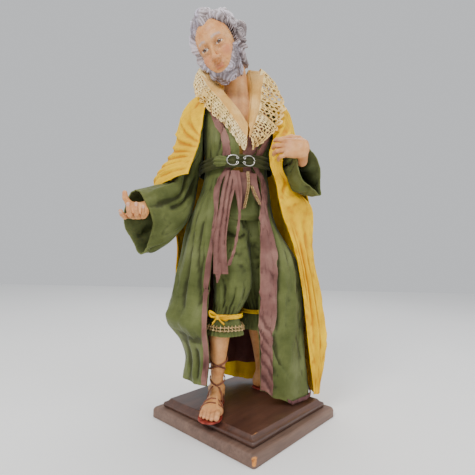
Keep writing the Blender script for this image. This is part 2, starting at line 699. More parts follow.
def plinth():
    half = LOWER_BOARD / 2
    reach = half * math.sqrt(2)

    def low_wear(x, y, z):
        corner = bell(y, -reach, 2.0) * 1.05
        rim = bell(abs(x) + abs(y), reach, 1.6)
        return 0.95 * corner * smooth((z - 1) / 4) + 0.24 * rim * smooth((z - 6.5) / 3)


    profile = [
        (0.6, 0), (0.1, 0.4), (0, 0.9), (0, 3), (0, 6.8), (0.15, 7.6), (0.7, 8.9), (1.5, 9.7), (2.4, 10),
        (4, 10)]
    board("plinth_lower", "plinth_lower_board", half, profile, 2.5, SIDE_WOOD, "plinth_edge_wood", low_wear)
    half = UPPER_BOARD / 2
    top_reach = half * math.sqrt(2)

    def top_wear(x, y, z):
        out = abs(x) + abs(y)
        rim, moulding = bell(out, top_reach, 1.0), bell(out, top_reach + 6.6, 1.4)
        return 0.2 * rim * smooth((z - 15) / 3) + 0.16 * moulding + 0.2 * bell(y, -top_reach, 5)


    profile = [
        (-3.0, 10), (-4.1, 10.4), (-4.6, 11.2), (-4.7, 12.2), (-4.7, 13.1), (-4.5, 14.0), (-4.0, 14.6),
        (-3.3, 14.75), (-3.0, 14.9), (-2.3, 15.3), (-1.4, 16.0), (-0.8, 16.7), (-0.35, 17.3), (0.0, 17.85),
        (0.4, 18.0), (1.5, 18.0)]
    board("plinth_upper", "plinth_upper_board", half, profile, 1.4, TOP_WOOD, "plinth_top_wood", top_wear)


# Coat

COAT_ROWS = [
    (326, -15, -3, 27, 27, 22, 22, 20, 52, 294), (316, -14, -3, 37, 36, 28, 28, 25, 40, 296),
    (300, -14, -4, 38, 36, 31, 31, 26, 25, 302), (275, -14, -4, 35, 34.5, 31, 31, 25, 3, 316),
    (252, -15, -5, 32, 32, 28, 28, 24, 1, 334), (236, -14, -4, 35, 33, 31, 29, 26, 27, 316),
    (200, -12, -2, 47, 38, 41, 34, 33, 29, 326), (160, -10, -1, 56, 57, 45, 33.5, 40, 34, 330),
    (120, -9, 0, 65, 62, 48, 33, 45, 36, 330), (97, -8, 0, 70, 62, 49, 31, 43, 37, 330),
    (80, -8, 0, 56, 63, 48, 30, 41, 37, 327), (60, -8, 0, 49, 65, 47, 29, 38, 38, 324),
    (18, -8, 0, 57, 70, 47, 25, 36, 41, 318)]
COAT_FOLDS = [
    (29, -6, 6, 135, 60, 0), (50, 3, 8, 240, 60, 3), (71, 5, 9, 235, 80, 4), (96, 6, 10, 235, 80, 2),
    (126, 6, 10, 238, 70, 0), (154, 6, 10, 238, 70, 0), (182, 6, 10, 238, 70, 0), (210, 6, 10, 238, 70, 0),
    (238, 6, 10, 238, 70, 0), (268, 5, 9, 200, 60, 2), (294, 5, 8, 200, 90, 0)]
COAT_HEM = stops([(36, 43), (80, 42), (95, 43), (150, 44), (230, 44), (262, 34), (278, 21), (292, 20),
                  (303, 26), (318, 34)])
COAT_CREASES = [
    (3.2, 1.6, 41, 238, 42, 200, 40, 160, 42, 120), (2.6, 1.7, 52, 232, 55, 190, 54, 150, 57, 112),
    (2.8, 1.5, 63, 225, 64, 180, 67, 130), (3.5, 1.5, 80, 215, 82, 170, 80, 125),
    (1.6, -1.5, 46, 205, 50, 170, 49, 140), (1.8, -1.6, 59, 210, 60, 165, 62, 120),
    (2.0, -1.4, 72, 205, 74, 160, 72, 118), (5.0, 1.9, 39, 103, 52, 97, 66, 101, 84, 108),
    (3.0, -1.5, 40, 88, 52, 84, 66, 88, 80, 93), (3.0, 1.3, 44, 82, 45, 62, 44, 44),
    (3.4, 1.4, 58, 84, 57, 62, 58, 44), (2.0, -1.3, 51, 80, 51, 60, 52, 44),
    (3.4, 1.2, 70, 84, 71, 62, 70, 44), (2.6, 1.3, 300, 205, 299, 165, 303, 120, 300, 80),
    (2.6, 1.3, 311, 195, 309, 160, 313, 120, 311, 85), (1.7, -1.4, 305, 200, 304, 160, 308, 118, 305, 82),
    (3.0, 1.4, 289, 190, 287, 150, 292, 110, 289, 75), (1.7, -1.3, 295, 185, 293, 140, 297, 95),
    (1.5, 0.9, 306, 146, 299, 134, 303, 118, 296, 106), (2.6, 1.3, 318, 90, 308, 66, 296, 46),
    (1.8, -1.2, 312, 84, 302, 60, 290, 40), (1.8, 0.9, 321, 165, 314, 150, 306, 142),
    (2.2, -1.5, 26, 294, 34, 280, 40, 262), (3.0, 1.2, 33, 300, 40, 288, 46, 268)]


def coat_surface(bearing, z):
    level = level_at(COAT_ROWS, z)
    depth = fold_depth(COAT_FOLDS, bearing, z) + 1.35 * ridges(bearing, z, COAT_CREASES)
    skirt = smooth((246 - z) / 40)
    p = stacked(bearing / 7.5, z / 46, z * 0)
    depth = depth + skirt * 0.75 * layered(p, 21) + 0.3 * layered_flat(bearing / 6, z / 9, 25, 2)
    depth += 1.5 * skirt * crimp(bearing / 11, z / 52, 27, 0.07)
    depth += 0.45 * crimp(bearing / 9 + z / 40, z / 16, 29)
    gathers = bell(z, 246, 10) + bell(z, 262, 7)
    depth += 0.55 * gathers * noise_flat(bearing / 3.4, z / 26, 28)
    return on_section(bearing, level, z, depth)


def coat_grid(u, v):
    lowest = level_at(COAT_ROWS, 44.0)
    foot = COAT_HEM(lerp(lowest["edge_west"], lowest["edge_east"], u))
    z = lerp(324.0, foot, v)
    level = level_at(COAT_ROWS, z)
    return coat_surface(lerp(level["edge_west"], level["edge_east"], u), z)


def coat_and_bindings():
    u, v = grid(190, 130)
    points = coat_grid(u, v)
    curl = bell(v, 1, 0.012)
    points -= normals_of(points) * (0.8 * curl)[..., None]
    coat = cloth("coat_body", "coat", points, COAT_SILK, [GREEN, LINING], "silk_green")

    def facing(name, node, east, inset, width, columns):
        s, t = grid(columns, 120)
        t = lerp(0.05, 0.995, t)
        edge = coat_grid(t * 0 + (1.0 if east else 0.0), t)
        beside = coat_grid(t * 0 + (0.96 if east else 0.04), t)
        reach = np.linalg.norm(edge - beside, axis=-1) / 0.04
        z = edge[..., 2]
        away = (inset(z) + width(z) * (1 - s if east else s)) / reach
        strip = coat_grid(1 - away if east else away, t)
        # The band is gathered along its sewn edge and puckers between the stitches.
        pucker = 0.14 * noise_flat(s * 2.2, z / 3.1, 41) + 0.42 * noise_flat(s * 1.2, z / 9, 44)
        roll = 0.55 * sin(pi * s) ** 0.7
        if east:
            # Low down the band is twisted into slanting folds, and higher up it has cross creases.
            roll += 0.8 * smooth((112 - z) / 14) * sin(2 * pi * (z / 14 - 0.9 * s))
            for level, tilt in ((226, 3), (206, -2), (178, 4), (150, -3), (128, 5)):
                roll -= 0.5 * bell(z, level + tilt * s, 1.0)
        strip += normals_of(strip) * (1.25 + pucker + roll)[..., None]
        return cloth(name, node, strip, THIN_SILK, [MAUVE], "silk_mauve")

    west_width = lambda z: lerp(lerp(7.5, 6, smooth((258 - z) / 16)), 4.6, smooth((225 - z) / 25))
    west_inset = lambda z: lerp(8.5, 0.2, smooth((262 - z) / 22))
    west = facing("coat_facing_right", "coat_right_facing", False, west_inset, west_width, 14)
    east_width = lambda z: lerp(lerp(7.5, 9, smooth((262 - z) / 20)), 16.5, smooth((225 - z) / 60)) \
        - 4 * smooth((120 - z) / 40)
    east = facing("coat_facing_left", "coat_left_facing", True, lambda z: z * 0 + 0.2, east_width, 22)
    s, t = grid(90, 14)
    along = lerp(22 / 29, 26.5 / 29, s)
    strip = coat_grid(along, lerp(0.988, 0.9995, t))
    lift = 1.3 + 0.4 * sin(pi * t) + 0.3 * noise(stacked(s * 26, t, t), 47)
    strip += normals_of(strip) * lift[..., None]
    binding = cloth("hem_binding", "coat_hem_binding", strip, 0.7, [DARK_MAUVE], "silk_mauve")


# Sleeves

RIGHT_SLEEVE = [
    ((-42, -3, 306), (0.73, 0, -0.68), (0, -1, 0), 14, 13, 0),
    ((-54, -3, 292), (0.87, 0, -0.5), (0, -1, 0), 16, 13, 0),
    ((-62, -3, 264), (0.95, 0, -0.3), (0, -1, 0.1), 17, 13, 0),
    ((-71.2, -2, 236), (0.95, -0.2, -0.15), (-0.1, -0.6, 0.8), 22.5, 12.8, 0.6),
    ((-77, -18.5, 208.5), (0.87, -0.45, 0), (-0.1, 0, 1), 26.6, 15, 0.8),
    ((-92, -34, 197), (0.86, -0.5, 0), (-0.12, 0.12, 1), 30, 16.3, 0.8, 0.2),
    ((-104, -48, 190.5), (0.87, -0.48, 0), (-0.14, 0.05, 1), 29.5, 16, 0.6, 0.35)]
LEFT_SLEEVE = [
    ((14, -3, 306), (0.76, 0, 0.65), (0, -1, 0), 14, 13, 0),
    ((25, -4, 292), (0.86, 0, 0.5), (0, -1, 0), 15, 12, 0),
    ((33, -8, 268), (0.93, 0, 0.36), (0, -1, 0.2), 15, 12, 0),
    ((39, -15, 249), (0.85, 0.1, 0.45), (-0.3, -0.75, 0.5), 18, 11.5, 0.6),
    ((46.5, -28, 243.5), (0.76, 0.2, 0.58), (-0.51, -0.42, 0.75), 24, 11, 0.4, 0.3),
    ((53.4, -41.4, 245.2), (0.83, 0.1, 0.53), (-0.49, -0.45, 0.745), 27.6, 11.2, 0.2, 0.62)]


def sleeve(stations, creases, seed, columns, rows):
    """A wide sleeve, pinched at its lower point. Creases run over (degrees round, per cent along)."""
    u, v = grid(columns, rows, ring=True)
    at, side, up = (spline([s[k] for s in stations], v) for k in range(3))
    side, up = unit(side), unit(up)
    sizes = [s[3:] if len(s) > 6 else (*s[3:], 0) for s in stations]
    high, wide, fold, tip = (spline([[s[k]] for s in sizes], v)[..., 0] for k in range(4))
    a = 2 * pi * u
    pinch = 1 - tip * smooth(-sin(a))
    ripple = fold * sin(4 * a + 2)
    cuff = smooth((v - 0.45) / 0.3)
    degrees = 360 * u
    lines = 2.5 * ridges_round(degrees, 100 * v, creases)
    soft = 1.2 * cuff * layered(stacked(cos(a) * 1.5, sin(a) * 1.5, v * 2.4), seed)
    round_seam = np.abs((u + 0.25) % 1 - 0.5) * 2
    soft += 0.9 * crimp(round_seam * 7, v * 3.2 + round_seam * 1.5, seed + 3)
    soft += 0.5 * crimp(round_seam * 12, v * 9, seed + 9)
    fine = 0.22 * layered(stacked(cos(a) * 5, sin(a) * 5, v * 9), seed + 7, 2)
    depth = lines + soft + fine
    points = at + side * (((wide + ripple) * pinch + depth) * cos(a))[..., None] \
        + up * ((high + ripple * 0.6 + depth) * sin(a))[..., None]
    # The sleeve's head lies against the coat's shoulder.
    z = np.clip(points[..., 2], 232, 326)
    level = level_at(COAT_ROWS, z)
    dx, dy = level["x"] - points[..., 0], level["y"] - points[..., 1]
    bearing = np.arctan2(dx, dy) / RAD
    least = section_radius(bearing, level) + 3.1
    r = np.hypot(dx, dy)
    push = np.where(points[..., 2] > 231, np.maximum(least - r, 0), 0) * smooth((points[..., 2] - 228) / 10)
    points[..., 0] -= push * sin(bearing * RAD)
    points[..., 1] -= push * cos(bearing * RAD)
    return points


def sleeves():
    west_creases = [
        (9, -1.8, 60, 30, 40, 52, 32, 78, 28, 96), (10, 1.8, 20, 36, 350, 55, 335, 80, 330, 98),
        (8, 1.6, 95, 48, 70, 60, 60, 80, 58, 98), (9, -1.5, 150, 50, 165, 70, 170, 96),
        (10, 1.6, 200, 52, 210, 75, 214, 96), (10, 1.4, 270, 48, 262, 70, 258, 96),
        (8, -1.5, 300, 54, 296, 76, 290, 98), (7, -1.2, 120, 44, 118, 66, 112, 92),
        (7, -1.4, 0, 46, 12, 62, 15, 84), (6, -1.2, 330, 48, 310, 44, 290, 46)]
    east_creases = [
        (9, 1.3, 60, 55, 50, 74, 46, 96), (9, -1.3, 20, 52, 10, 74, 5, 96),
        (9, 1.4, 330, 56, 325, 76, 320, 98), (9, 1.2, 200, 50, 205, 70, 208, 96),
        (9, -1.2, 260, 55, 255, 75, 250, 96), (8, -1.0, 120, 52, 128, 72, 132, 94),
        (6, 1.1, 290, 50, 292, 72, 286, 94)]
    for side, stations, creases, seed, columns, rows, flat in (
            ("right", RIGHT_SLEEVE, west_creases, 61, 124, 92, (145, 130)),
            ("left", LEFT_SLEEVE, east_creases, 71, 108, 80, (110, 92))):
        points = sleeve(stations, creases, seed, columns, rows)
        obj = cloth(f"sleeve_{side}", f"coat_{side}_sleeve", points, SLEEVE_SILK, [GREEN, CUFF_LINING],
                    "silk_green", ring=True, rim=0)


# Cloak

CLOAK_ROWS = [
    (334, -12, 4, 36, 32, 28, 22, 24, 56, 288), (324, -12, 4, 54, 48, 31, 26, 30, 54, 288),
    (304, -12, 4, 64, 55.5, 37, 34, 33, 51, 290), (270, -10, 5, 72, 63, 46, 38, 33, 50, 283),
    (240, -10, 6, 89, 70, 54, 42, 36, 50, 276), (225, -10, 6, 88.5, 73, 57, 44, 38, 50, 276),
    (205, -10, 6, 74, 77.5, 52, 44, 41, 50, 280), (170, -10, 6, 67, 77, 52, 44, 46, 50, 280),
    (120, -9, 6, 76, 87, 52, 44, 52, 50, 277), (75, -8, 6, 80, 92, 52, 44, 49, 50, 276),
    (18, -8, 6, 78, 82, 52, 44, 43, 50, 273)]
CLOAK_FOLDS = [
    (118, 5, 9, 300, 90, 4), (142, 6, 9, 310, 90, 2), (166, 6, 9, 315, 90, 0), (190, 6, 9, 315, 90, 0),
    (214, 6, 9, 310, 90, -2), (238, 5, 9, 300, 90, -2), (260, 4, 8, 250, 80, 0)]
CLOAK_HEM = stops([(50, 239), (84, 229), (104, 140), (128, 104), (150, 50), (168, 25), (200, 21),
                   (262, 19.6), (276, 21)])
# Creases fan out over the upper arm from the bend of the elbow.
FAN = [
    (246, 97, 233), (249, 98, 241), (252, 98, 250), (256, 98, 262), (260, 96, 275), (265, 92, 290),
    (270, 84, 305), (275, 73, 318)]
CLOAK_CREASES = [
    (width, depth, 50, z0 + shift, lerp(50, b, 0.45), lerp(z0, z1, 0.36) + shift, b, z1 + shift)
    for z0, b, z1 in FAN for shift, width, depth in ((0, 1.5, -0.9), (3.2, 2.2, 1.6))]
CLOAK_CREASES += [
    (3.0, -1.4, 56, 322, 64, 316, 68, 304), (2.6, 1.6, 272, 230, 269, 190, 271, 150, 268, 100),
    (3.0, 1.6, 264, 240, 262, 200, 263, 150, 261, 90, 262, 45),
    (1.7, -1.6, 268, 225, 266, 180, 267, 130, 265, 80), (3.2, 1.5, 254, 245, 252, 190, 254, 130, 252, 60),
    (1.8, -1.5, 258, 240, 257, 180, 258, 120, 257, 50), (3.2, 1.4, 246, 240, 245, 180, 247, 110, 245, 50),
    (3.0, 1.2, 285, 325, 280, 310, 278, 292, 276, 262), (3.0, 1.3, 276, 326, 270, 305, 268, 280, 266, 250),
    (1.8, -1.3, 281, 300, 276, 280, 273, 255)]


def cloak():
    u, v = grid(160, 112)
    foot = CLOAK_HEM(lerp(50, 276, u))
    behind = smooth((u - 0.12) / 0.1) * smooth((0.93 - u) / 0.12)
    z = lerp(330 + 9 * behind, foot, v)
    level = level_at(CLOAK_ROWS, np.minimum(z, 330))
    bearing = lerp(level["edge_west"], level["edge_east"], u)
    depth = fold_depth(CLOAK_FOLDS, bearing, z) + 1.3 * ridges(bearing, z, CLOAK_CREASES)
    arm = bell(bearing, 66, 26) * smooth((z - 226) / 12)
    back = smooth((bearing - 105) / 20)
    depth += 0.7 * arm * crimp(bearing / 9 + z / 30, z / 9, 83)
    depth += 0.3 * arm * layered_flat(bearing / 22, z / 7.5, 81)
    depth += 0.8 * back * layered_flat(bearing / 7, z / 50, 84)
    depth += 0.3 * layered_flat(bearing / 5.5, z / 8, 87, 2)
    depth += 1.3 * back * crimp(bearing / 12, z / 60, 88)
    depth += 0.6 * crimp(bearing / 10, z / 18 + bearing / 30, 89)
    crinkle = smooth((bearing - 255) / 10) * (smooth((110 - z) / 40) + 0.6 * bell(z, 190, 60))
    depth += 0.8 * crinkle * layered_flat(bearing / 2.6, z / 7, 91, 2)
    hem = bell(v, 1, 0.03) * (0.5 * noise_flat(bearing / 3.5, 0, 93))
    # Behind the neck the cloth runs in under the collar.
    under = 15 * behind * smooth((z - 320) / 19)
    points = on_section(bearing, level, z, depth + hem - under)
    # The hem lies turned under as a soft roll.
    points -= normals_of(points) * (0.9 * bell(v, 1, 0.012))[..., None]
    obj = cloth("cloak_body", "cloak", points, CLOAK_SILK, [YELLOW], "silk_yellow")


CLOAK_FRONT = [
    ((35, -9, 319), (29, -12.2, 319), (23.2, -14, 319)), ((39, -12, 304), (31, -18, 304), (23.4, -20, 304)),
    ((44.5, -10.8, 290), (33, -22.5, 290), (20.5, -23, 290)),
    ((49.5, -8.4, 278), (33, -29.5, 278), (18.5, -29, 277)),
    ((43, -28, 271.5), (27, -37, 269), (15.8, -32, 267)),
    ((29.5, -41, 263), (22, -39.5, 260), (14.8, -34, 258)),
    ((27, -39, 249), (22.5, -37.5, 247.5), (17.5, -35, 246)),
    ((46, -15, 232), (33, -28, 233), (22.5, -33, 234)), ((63, -9, 217), (43, -22, 218), (26, -31.5, 220)),
    ((66.5, -6.6, 203), (47, -19, 204), (29.5, -30, 206)),
    ((66, -6.2, 188), (50, -17, 189), (36.5, -25.5, 190)),
    ((68, -5.6, 162), (57, -13, 163), (46.5, -19, 165)), ((74, -4.6, 136), (63, -10, 137), (53, -14, 138)),
    ((79, -4, 108), (68, -8.5, 108), (58, -11.5, 108)), ((82.5, -3.2, 70), (73, -7, 70), (63, -9.5, 70)),
    ((77, 0, 24), (74.5, -4, 24), (70, -6, 25))]
# Over (per cent across, height): arcs over the upper arm, then long falls and the crumpled selvage.
FRONT_CREASES = [
    (2.6, 1.2, 0, 300, 40, 286, 80, 270, 100, 262), (1.8, -1.2, 0, 292, 40, 276, 75, 264),
    (2.4, 1.1, 10, 286, 50, 270, 90, 256), (2.6, 1.1, 30, 312, 55, 296, 85, 282, 100, 276),
    (2.2, 0.9, 60, 314, 75, 304, 100, 294), (2.2, -1.3, 20, 240, 60, 232, 90, 224),
    (2.6, 1.4, 10, 224, 50, 220, 90, 214), (4, 1.3, 88, 206, 90, 180, 88, 150, 90, 110),
    (5, 1.2, 70, 200, 74, 170, 72, 130, 76, 80), (3, -1.4, 80, 204, 81, 160, 80, 110),
    (6, 1.3, 48, 196, 54, 160, 50, 110, 54, 50), (3.5, -1.4, 60, 190, 64, 150, 62, 90),
    (6, 1.2, 24, 190, 30, 140, 28, 80, 30, 40), (3.5, -1.3, 36, 188, 41, 150, 38, 100),
    (2.0, 0.9, 95, 140, 80, 128, 66, 122), (2.0, 0.9, 98, 100, 84, 88, 70, 84)]


def cloak_front():
    """The cloak's free edge, which falls in front of the left arm and on down beside the coat."""
    u, v = grid(50, 190)
    across = [spline([row[k] for row in CLOAK_FRONT], v) for k in range(3)]
    w = u[..., None]
    points = across[0] * (1 - w) * (1 - 2 * w) + across[1] * 4 * w * (1 - w) + across[2] * w * (2 * w - 1)
    z = points[..., 2]
    hanging = smooth((215 - z) / 30) * smooth((z - 24) / 70) * sin(pi * u)
    wave = 0.9 + 1.1 * sin(5 * pi * u)
    depth = ridges(100 * u, z, FRONT_CREASES) * (0.3 + 0.7 * sin(pi * np.clip(u, 0.12, 0.9)))
    depth = depth + 0.8 * crimp(u * 3, z / 24, 99) + 0.4 * layered_flat(u * 4, z / 8, 95)
    depth += 0.5 * smooth((u - 0.75) / 0.2) * noise_flat(u * 3, z / 3.4, 97)
    sway = np.array([0.45, -0.9, 0]) * (hanging * wave)[..., None]
    points = points + sway + normals_of(points) * depth[..., None]
    obj = cloth("cloak_front", "cloak", points, CLOAK_SILK, [YELLOW], "silk_yellow")


# Waistcoat, breeches, belt and hanging ribbon

SHIRT_ROWS = [
    (330, -15, -4, 19, 19, 15, 15, 16), (318, -14, -4, 30, 30, 23, 23, 20),
    (300, -14, -4, 32, 31, 25.5, 25.5, 20), (275, -14, -4, 29, 29, 25, 25, 19),
    (250, -15, -5, 26.5, 26.5, 22.5, 22.5, 18.5), (236, -14, -4, 27, 27, 23, 23, 19)]
VEST_ROWS = [(*row[:3], *(value + 2.75 for value in row[3:]), *((50, 310) if row[0] > 290 else (12, 348)))
             for row in SHIRT_ROWS]


def shirt_and_waistcoat():
    u, v = grid(70, 44)
    z = lerp(327.5, 237.5, v)
    level = level_at(SHIRT_ROWS, z)
    bearing = u * 360 + 180
    pleat = 0.35 * noise_flat(bearing / 3.2, z / 40, 101) + 0.25 * layered_flat(bearing / 9, z / 7, 104)
    radius = section_radius(bearing, level) - 1.3 + pleat
    # The front lies open in a V down to the placket.
    front = np.where(bearing % 360 > 180, bearing % 360 - 360, bearing % 360)
    x = level["x"] - radius * sin(bearing * RAD)
    open_v = (z > 288) & (np.abs(x + 9 - (z - 288) * 0.05) < (z - 288) * 0.62) & (np.abs(front) < 85)
    points = section_point(bearing, level, z, radius)
    obj = cloth("shirt_front", "shirt", points[:, :-1], LINEN_CLOTH, [LINEN], "linen_cream", ring=True,
                keep=~open_v[:-1, :-1])

    u, v = grid(80, 40)
    z = lerp(308, 238, v)
    level = level_at(VEST_ROWS, z)
    bearing = lerp(level["edge_west"], level["edge_east"], u)
    lap = 0.4 * noise_flat(bearing / 4, z / 30, 111) + 0.3 * layered_flat(bearing / 10, z / 6, 112)
    points = on_section(bearing, level, z, lap)
    body = cloth("waistcoat_body", "waistcoat", points, THIN_SILK, [MAUVE], "silk_mauve")
    for n, (path, half, turn) in enumerate(TAILS):
        s, t = grid(14, 36)
        strip = ribbon(path, half, turn, s, t)
        end = np.sqrt(np.clip(1 - smooth((t - 0.86) / 0.14) * (2 * s - 1) ** 2, 0, 1))
        strip[..., 2] += (1 - end) * 5
        relief = 0.5 * layered(stacked(s * 2.2, t * 3.5, t * 0 + n), 115)
        strip += normals_of(strip) * relief[..., None]
        tail = cloth(f"waistcoat_tail_{n + 1}", "waistcoat", strip, THIN_SILK, [MAUVE], "silk_mauve")


TAILS = [([(-9, -33.2, 243), (-8.6, -34.5, 228), (-9.5, -37.5, 207)], (5.5, 5, 2.4), 4),
         ([(-0.5, -30.8, 243), (2, -31.5, 227), (7.5, -34.5, 211)], (3.6, 4, 2.2), 20)]


def ribbon(path, half_widths, turn, u, v):
    p = spline(path, v)
    half = spline([[w] for w in half_widths], v)[..., 0]
    aside = (2 * u - 1) * half
    return stacked(p[..., 0] + aside * math.cos(turn * RAD), p[..., 1] + aside * math.sin(turn * RAD),
                   p[..., 2])


def chain(path, size):
    """Braid: two thin cords that wind round each other in figures of eight along the path."""
    path = np.asarray(path, float)
    steps = np.linalg.norm(np.diff(path, axis=0), axis=1)
    length = steps.sum()
    count = max(int(length / 0.3), 24)
    dense = spline(path, np.linspace(0, 1, count))
    run = np.concatenate([[0], np.cumsum(np.linalg.norm(np.diff(dense, axis=0), axis=1))])
    _, right, up = frames_along(dense)
    parts = []
    for phase in (0, pi):
        a = 2 * pi * run / (size * 2.4) + phase
        aside, over = size * 0.55 * sin(a), size * 0.28 * cos(2 * a + phase)
        offset = right * aside[:, None] + up * over[:, None]
        parts.append(tube_parts(dense + offset, size * 0.27, 6))
    return parts


def tail_braids():
    for (path, half, turn), side, name in ((TAILS[0], 1, "right"), (TAILS[1], -1, "left")):
        edge = []
        for (x, y, z), w in list(zip(path, half))[1:]:
            aside = side * (w - 1.1)
            edge.append((x + aside * math.cos(turn * RAD), y + aside * math.sin(turn * RAD) - 2.0, z + 1.5))
        edge = np.array(edge)
        top = np.array((-5.6, -37.6, 243)) if side > 0 else lerp(edge[0], edge[1], -0.12)
        parts = []
        for shift in (-0.75, 0.75):
            line = np.array([top, *edge]) + np.array([shift, 0, 0])
            parts += chain(line, 1.35)
        points, faces = gather(parts)
        make(f"waistcoat_braid_{name}", f"waistcoat_{name}_braid", points, faces, [GOLD], "gold_braid",
             closed=True)


BREECHES_TOP = [(240, -14, -4, 28, 28, 23, 23, 20), (222, -13, -3, 33, 30, 28, 27, 23),
                (200, -11, -2, 36, 32, 32, 29, 25)]
RIGHT_BREECH = [
    (205, -22, -6, 17), (185, -19, -11, 19), (160, -17.5, -17, 18.8), (135, -17, -22, 18),
    (122, -18.5, -23.5, 16.5), (113, -21, -24.5, 13.5), (108, -23, -25.5, 12.6)]
LEFT_BREECH = [
    (205, 2, -2, 17), (185, 4, 0, 18), (160, 6, 3, 17.5), (135, 8, 5, 17), (122, 10.5, 7.5, 15.8),
    (113, 11.5, 9, 13.8), (108, 11.5, 9, 13)]


def breech_leg(rows, seed, creases):
    """One leg of the breeches with its gather and flared cuff, as rows of rings."""
    z = np.concatenate([np.linspace(205, 109, 62), np.linspace(108, 88.6, 24)])
    a = np.linspace(0, 2 * pi, 112, endpoint=False)
    z, a = np.meshgrid(z, a, indexing="ij")
    c, s = cos(a), sin(a)
    along = np.interp(z, [r[0] for r in rows][::-1], np.linspace(1, 0, len(rows)))
    centre = spline([r[1:] for r in rows], along)
    radius = centre[..., 2]
    flare = np.interp(z, [89, 96, 103, 108], [5, 3.6, 1.2, 0])
    frill = 0.55 * smooth((106 - z) / 10) * sin(26 * a + 3 * noise_flat(c * 2, s * 2, seed))
    wander = noise(stacked(c * 3, s * 3, z / 9), seed + 1)
    gathers = 0.5 * bell(z, 112, 8) * sin(24 * a + z * 0.12 + 2 * wander)
    bag = 0.7 * sin(5 * a + z * 0.11)
    degrees = (-a / RAD + 270) % 360
    lines = ridges_round(degrees, z, creases)
    soft = smooth((z - 108) / 14) * (0.7 * layered(stacked(c * 1.8, s * 1.8, z / 11), seed + 2))
    soft += 0.8 * smooth((z - 112) / 12) * crimp(c * 3, z / 10 + s * 2, seed + 5)
    r = radius + flare + frill + gathers + bag + 1.4 * lines + soft
    return around((centre[..., 0], centre[..., 1]), r, a, z)


def breeches():
    # Bearings round each leg: 0 is the front, 90 west.
    west = [
        (3.4, 1.6, -50, 196, -20, 190, 20, 193, 60, 186), (2.2, -1.6, -60, 186, -25, 181, 15, 184, 50, 178),
        (3.2, 1.4, -60, 178, -20, 171, 25, 174, 55, 166), (2.6, 1.1, -55, 150, -30, 158, 0, 160),
        (5.0, 1.1, -30, 140, -28, 126, -25, 113), (5.0, 1.1, 10, 142, 8, 128, 6, 113),
        (5.0, 1.0, 40, 140, 36, 126, 30, 113), (3.0, -1.2, -8, 138, -9, 124, -8, 113),
        (3.0, -1.2, 26, 138, 24, 124, 20, 113), (3.0, -1.1, -46, 136, -44, 124, -42, 113)]
    east = [
        (3.4, 1.4, -60, 180, -20, 176, 20, 180, 60, 174), (3.0, 1.2, -40, 160, 0, 156, 40, 160),
        (5.0, 1.0, -20, 140, -18, 126, -16, 113), (5.0, 1.0, 20, 140, 18, 126, 14, 113)]
    for name, rows, seed, creases, area in (("breeches_body", RIGHT_BREECH, 121, west, (118, 120)),
                                            ("breeches_left_leg", LEFT_BREECH, 131, east, (114, 120))):
        points = breech_leg(rows, seed, creases)
        obj = cloth(name, "breeches", points[:, ::-1], 0.9, [GREEN], "silk_green", ring=True)
    u, v = grid(70, 24, ring=True)
    z = lerp(236, 198, v)
    level = level_at(BREECHES_TOP, np.maximum(z, 200))
    bearing = 360 * u
    lift = 0.6 * layered_flat(bearing / 8, z / 12, 141) - 2 - 6 * smooth((204 - z) / 8)
    hips = cloth("breeches_hips", "breeches", on_section(bearing, level, z, lift), 0.9, [GREEN],
                 "silk_green", ring=True)


def garter(rows, name, node, bow):
    _, *middle, width = rows[-1]
    u, v = grid(120, 8, ring=True)
    a = -u * 2 * pi
    z = lerp(108.6, 104.6, v)
    pucker = 0.3 * sin(17 * a + 5 * noise(stacked(cos(a) * 3, sin(a) * 3, v * 1.4), 151))
    r = width + 3.3 + 0.5 * bell(z, 106.5, 3) + pucker + 0.25 * cos(3 * pi * v)
    band = cloth(name, node, around(middle, r, a, z), 0.6, [YELLOW], "ribbon_yellow", ring=True)
    if not bow:
        return
    # The ribbon is tied in a bow: two loops, two ends and the knot between them.
    x, y, z = -30.5, -41.2, 106.5
    loops = [
        ([(x, y, z), (x - 3.4, y - 1.6, z + 3.2), (x - 7.6, y - 0.6, z + 4.6), (x - 6.2, y + 0.6, z + 0.8),
          (x, y + 0.5, z - 0.2)], 1.3),
        ([(x, y, z), (x + 4, y - 1.8, z + 1.4), (x + 10.4, y - 0.6, z - 0.4), (x + 7.5, y + 0.2, z - 3.0),
          (x, y + 0.5, z - 0.4)], 1.3),
        ([(x, y, z), (x - 2.2, y - 1.0, z - 3.0), (x - 4.6, y - 0.8, z - 6.4)], 1.0),
        ([(x, y, z), (x + 2.6, y - 1.2, z - 3.0), (x + 6.2, y - 0.8, z - 6.2)], 1.0)]
    for n, (path, half) in enumerate(loops):
        s, t = grid(10, 46)
        p = spline(path, t)
        side = half * (0.45 + 0.55 * sin(pi * np.clip(t * 1.1, 0, 1))) * (2 * s - 1)
        if n > 1:
            side = half * (0.45 + 0.75 * t) * (2 * s - 1)
        p[..., 1] -= 0.5 * side - 0.25 * cos(5 * pi * s)
        p[..., 2] += side * 0.86
        piece = cloth(f"garter_bow_{n + 1}", node, p, 0.45, [YELLOW], "ribbon_yellow")
    s, t = grid(28, 16, ring=True)
    b = 2 * pi * s
    knot = stacked(x + 1.9 * cos(b) * (0.8 + 0.2 * cos(2 * pi * (t - 0.5))),
                   y - 0.4 + 1.7 * sin(b), z + lerp(-2.1, 2.1, t))
    piece = cloth("garter_knot", node, knot, 0.6, [YELLOW], "ribbon_yellow", ring=True)


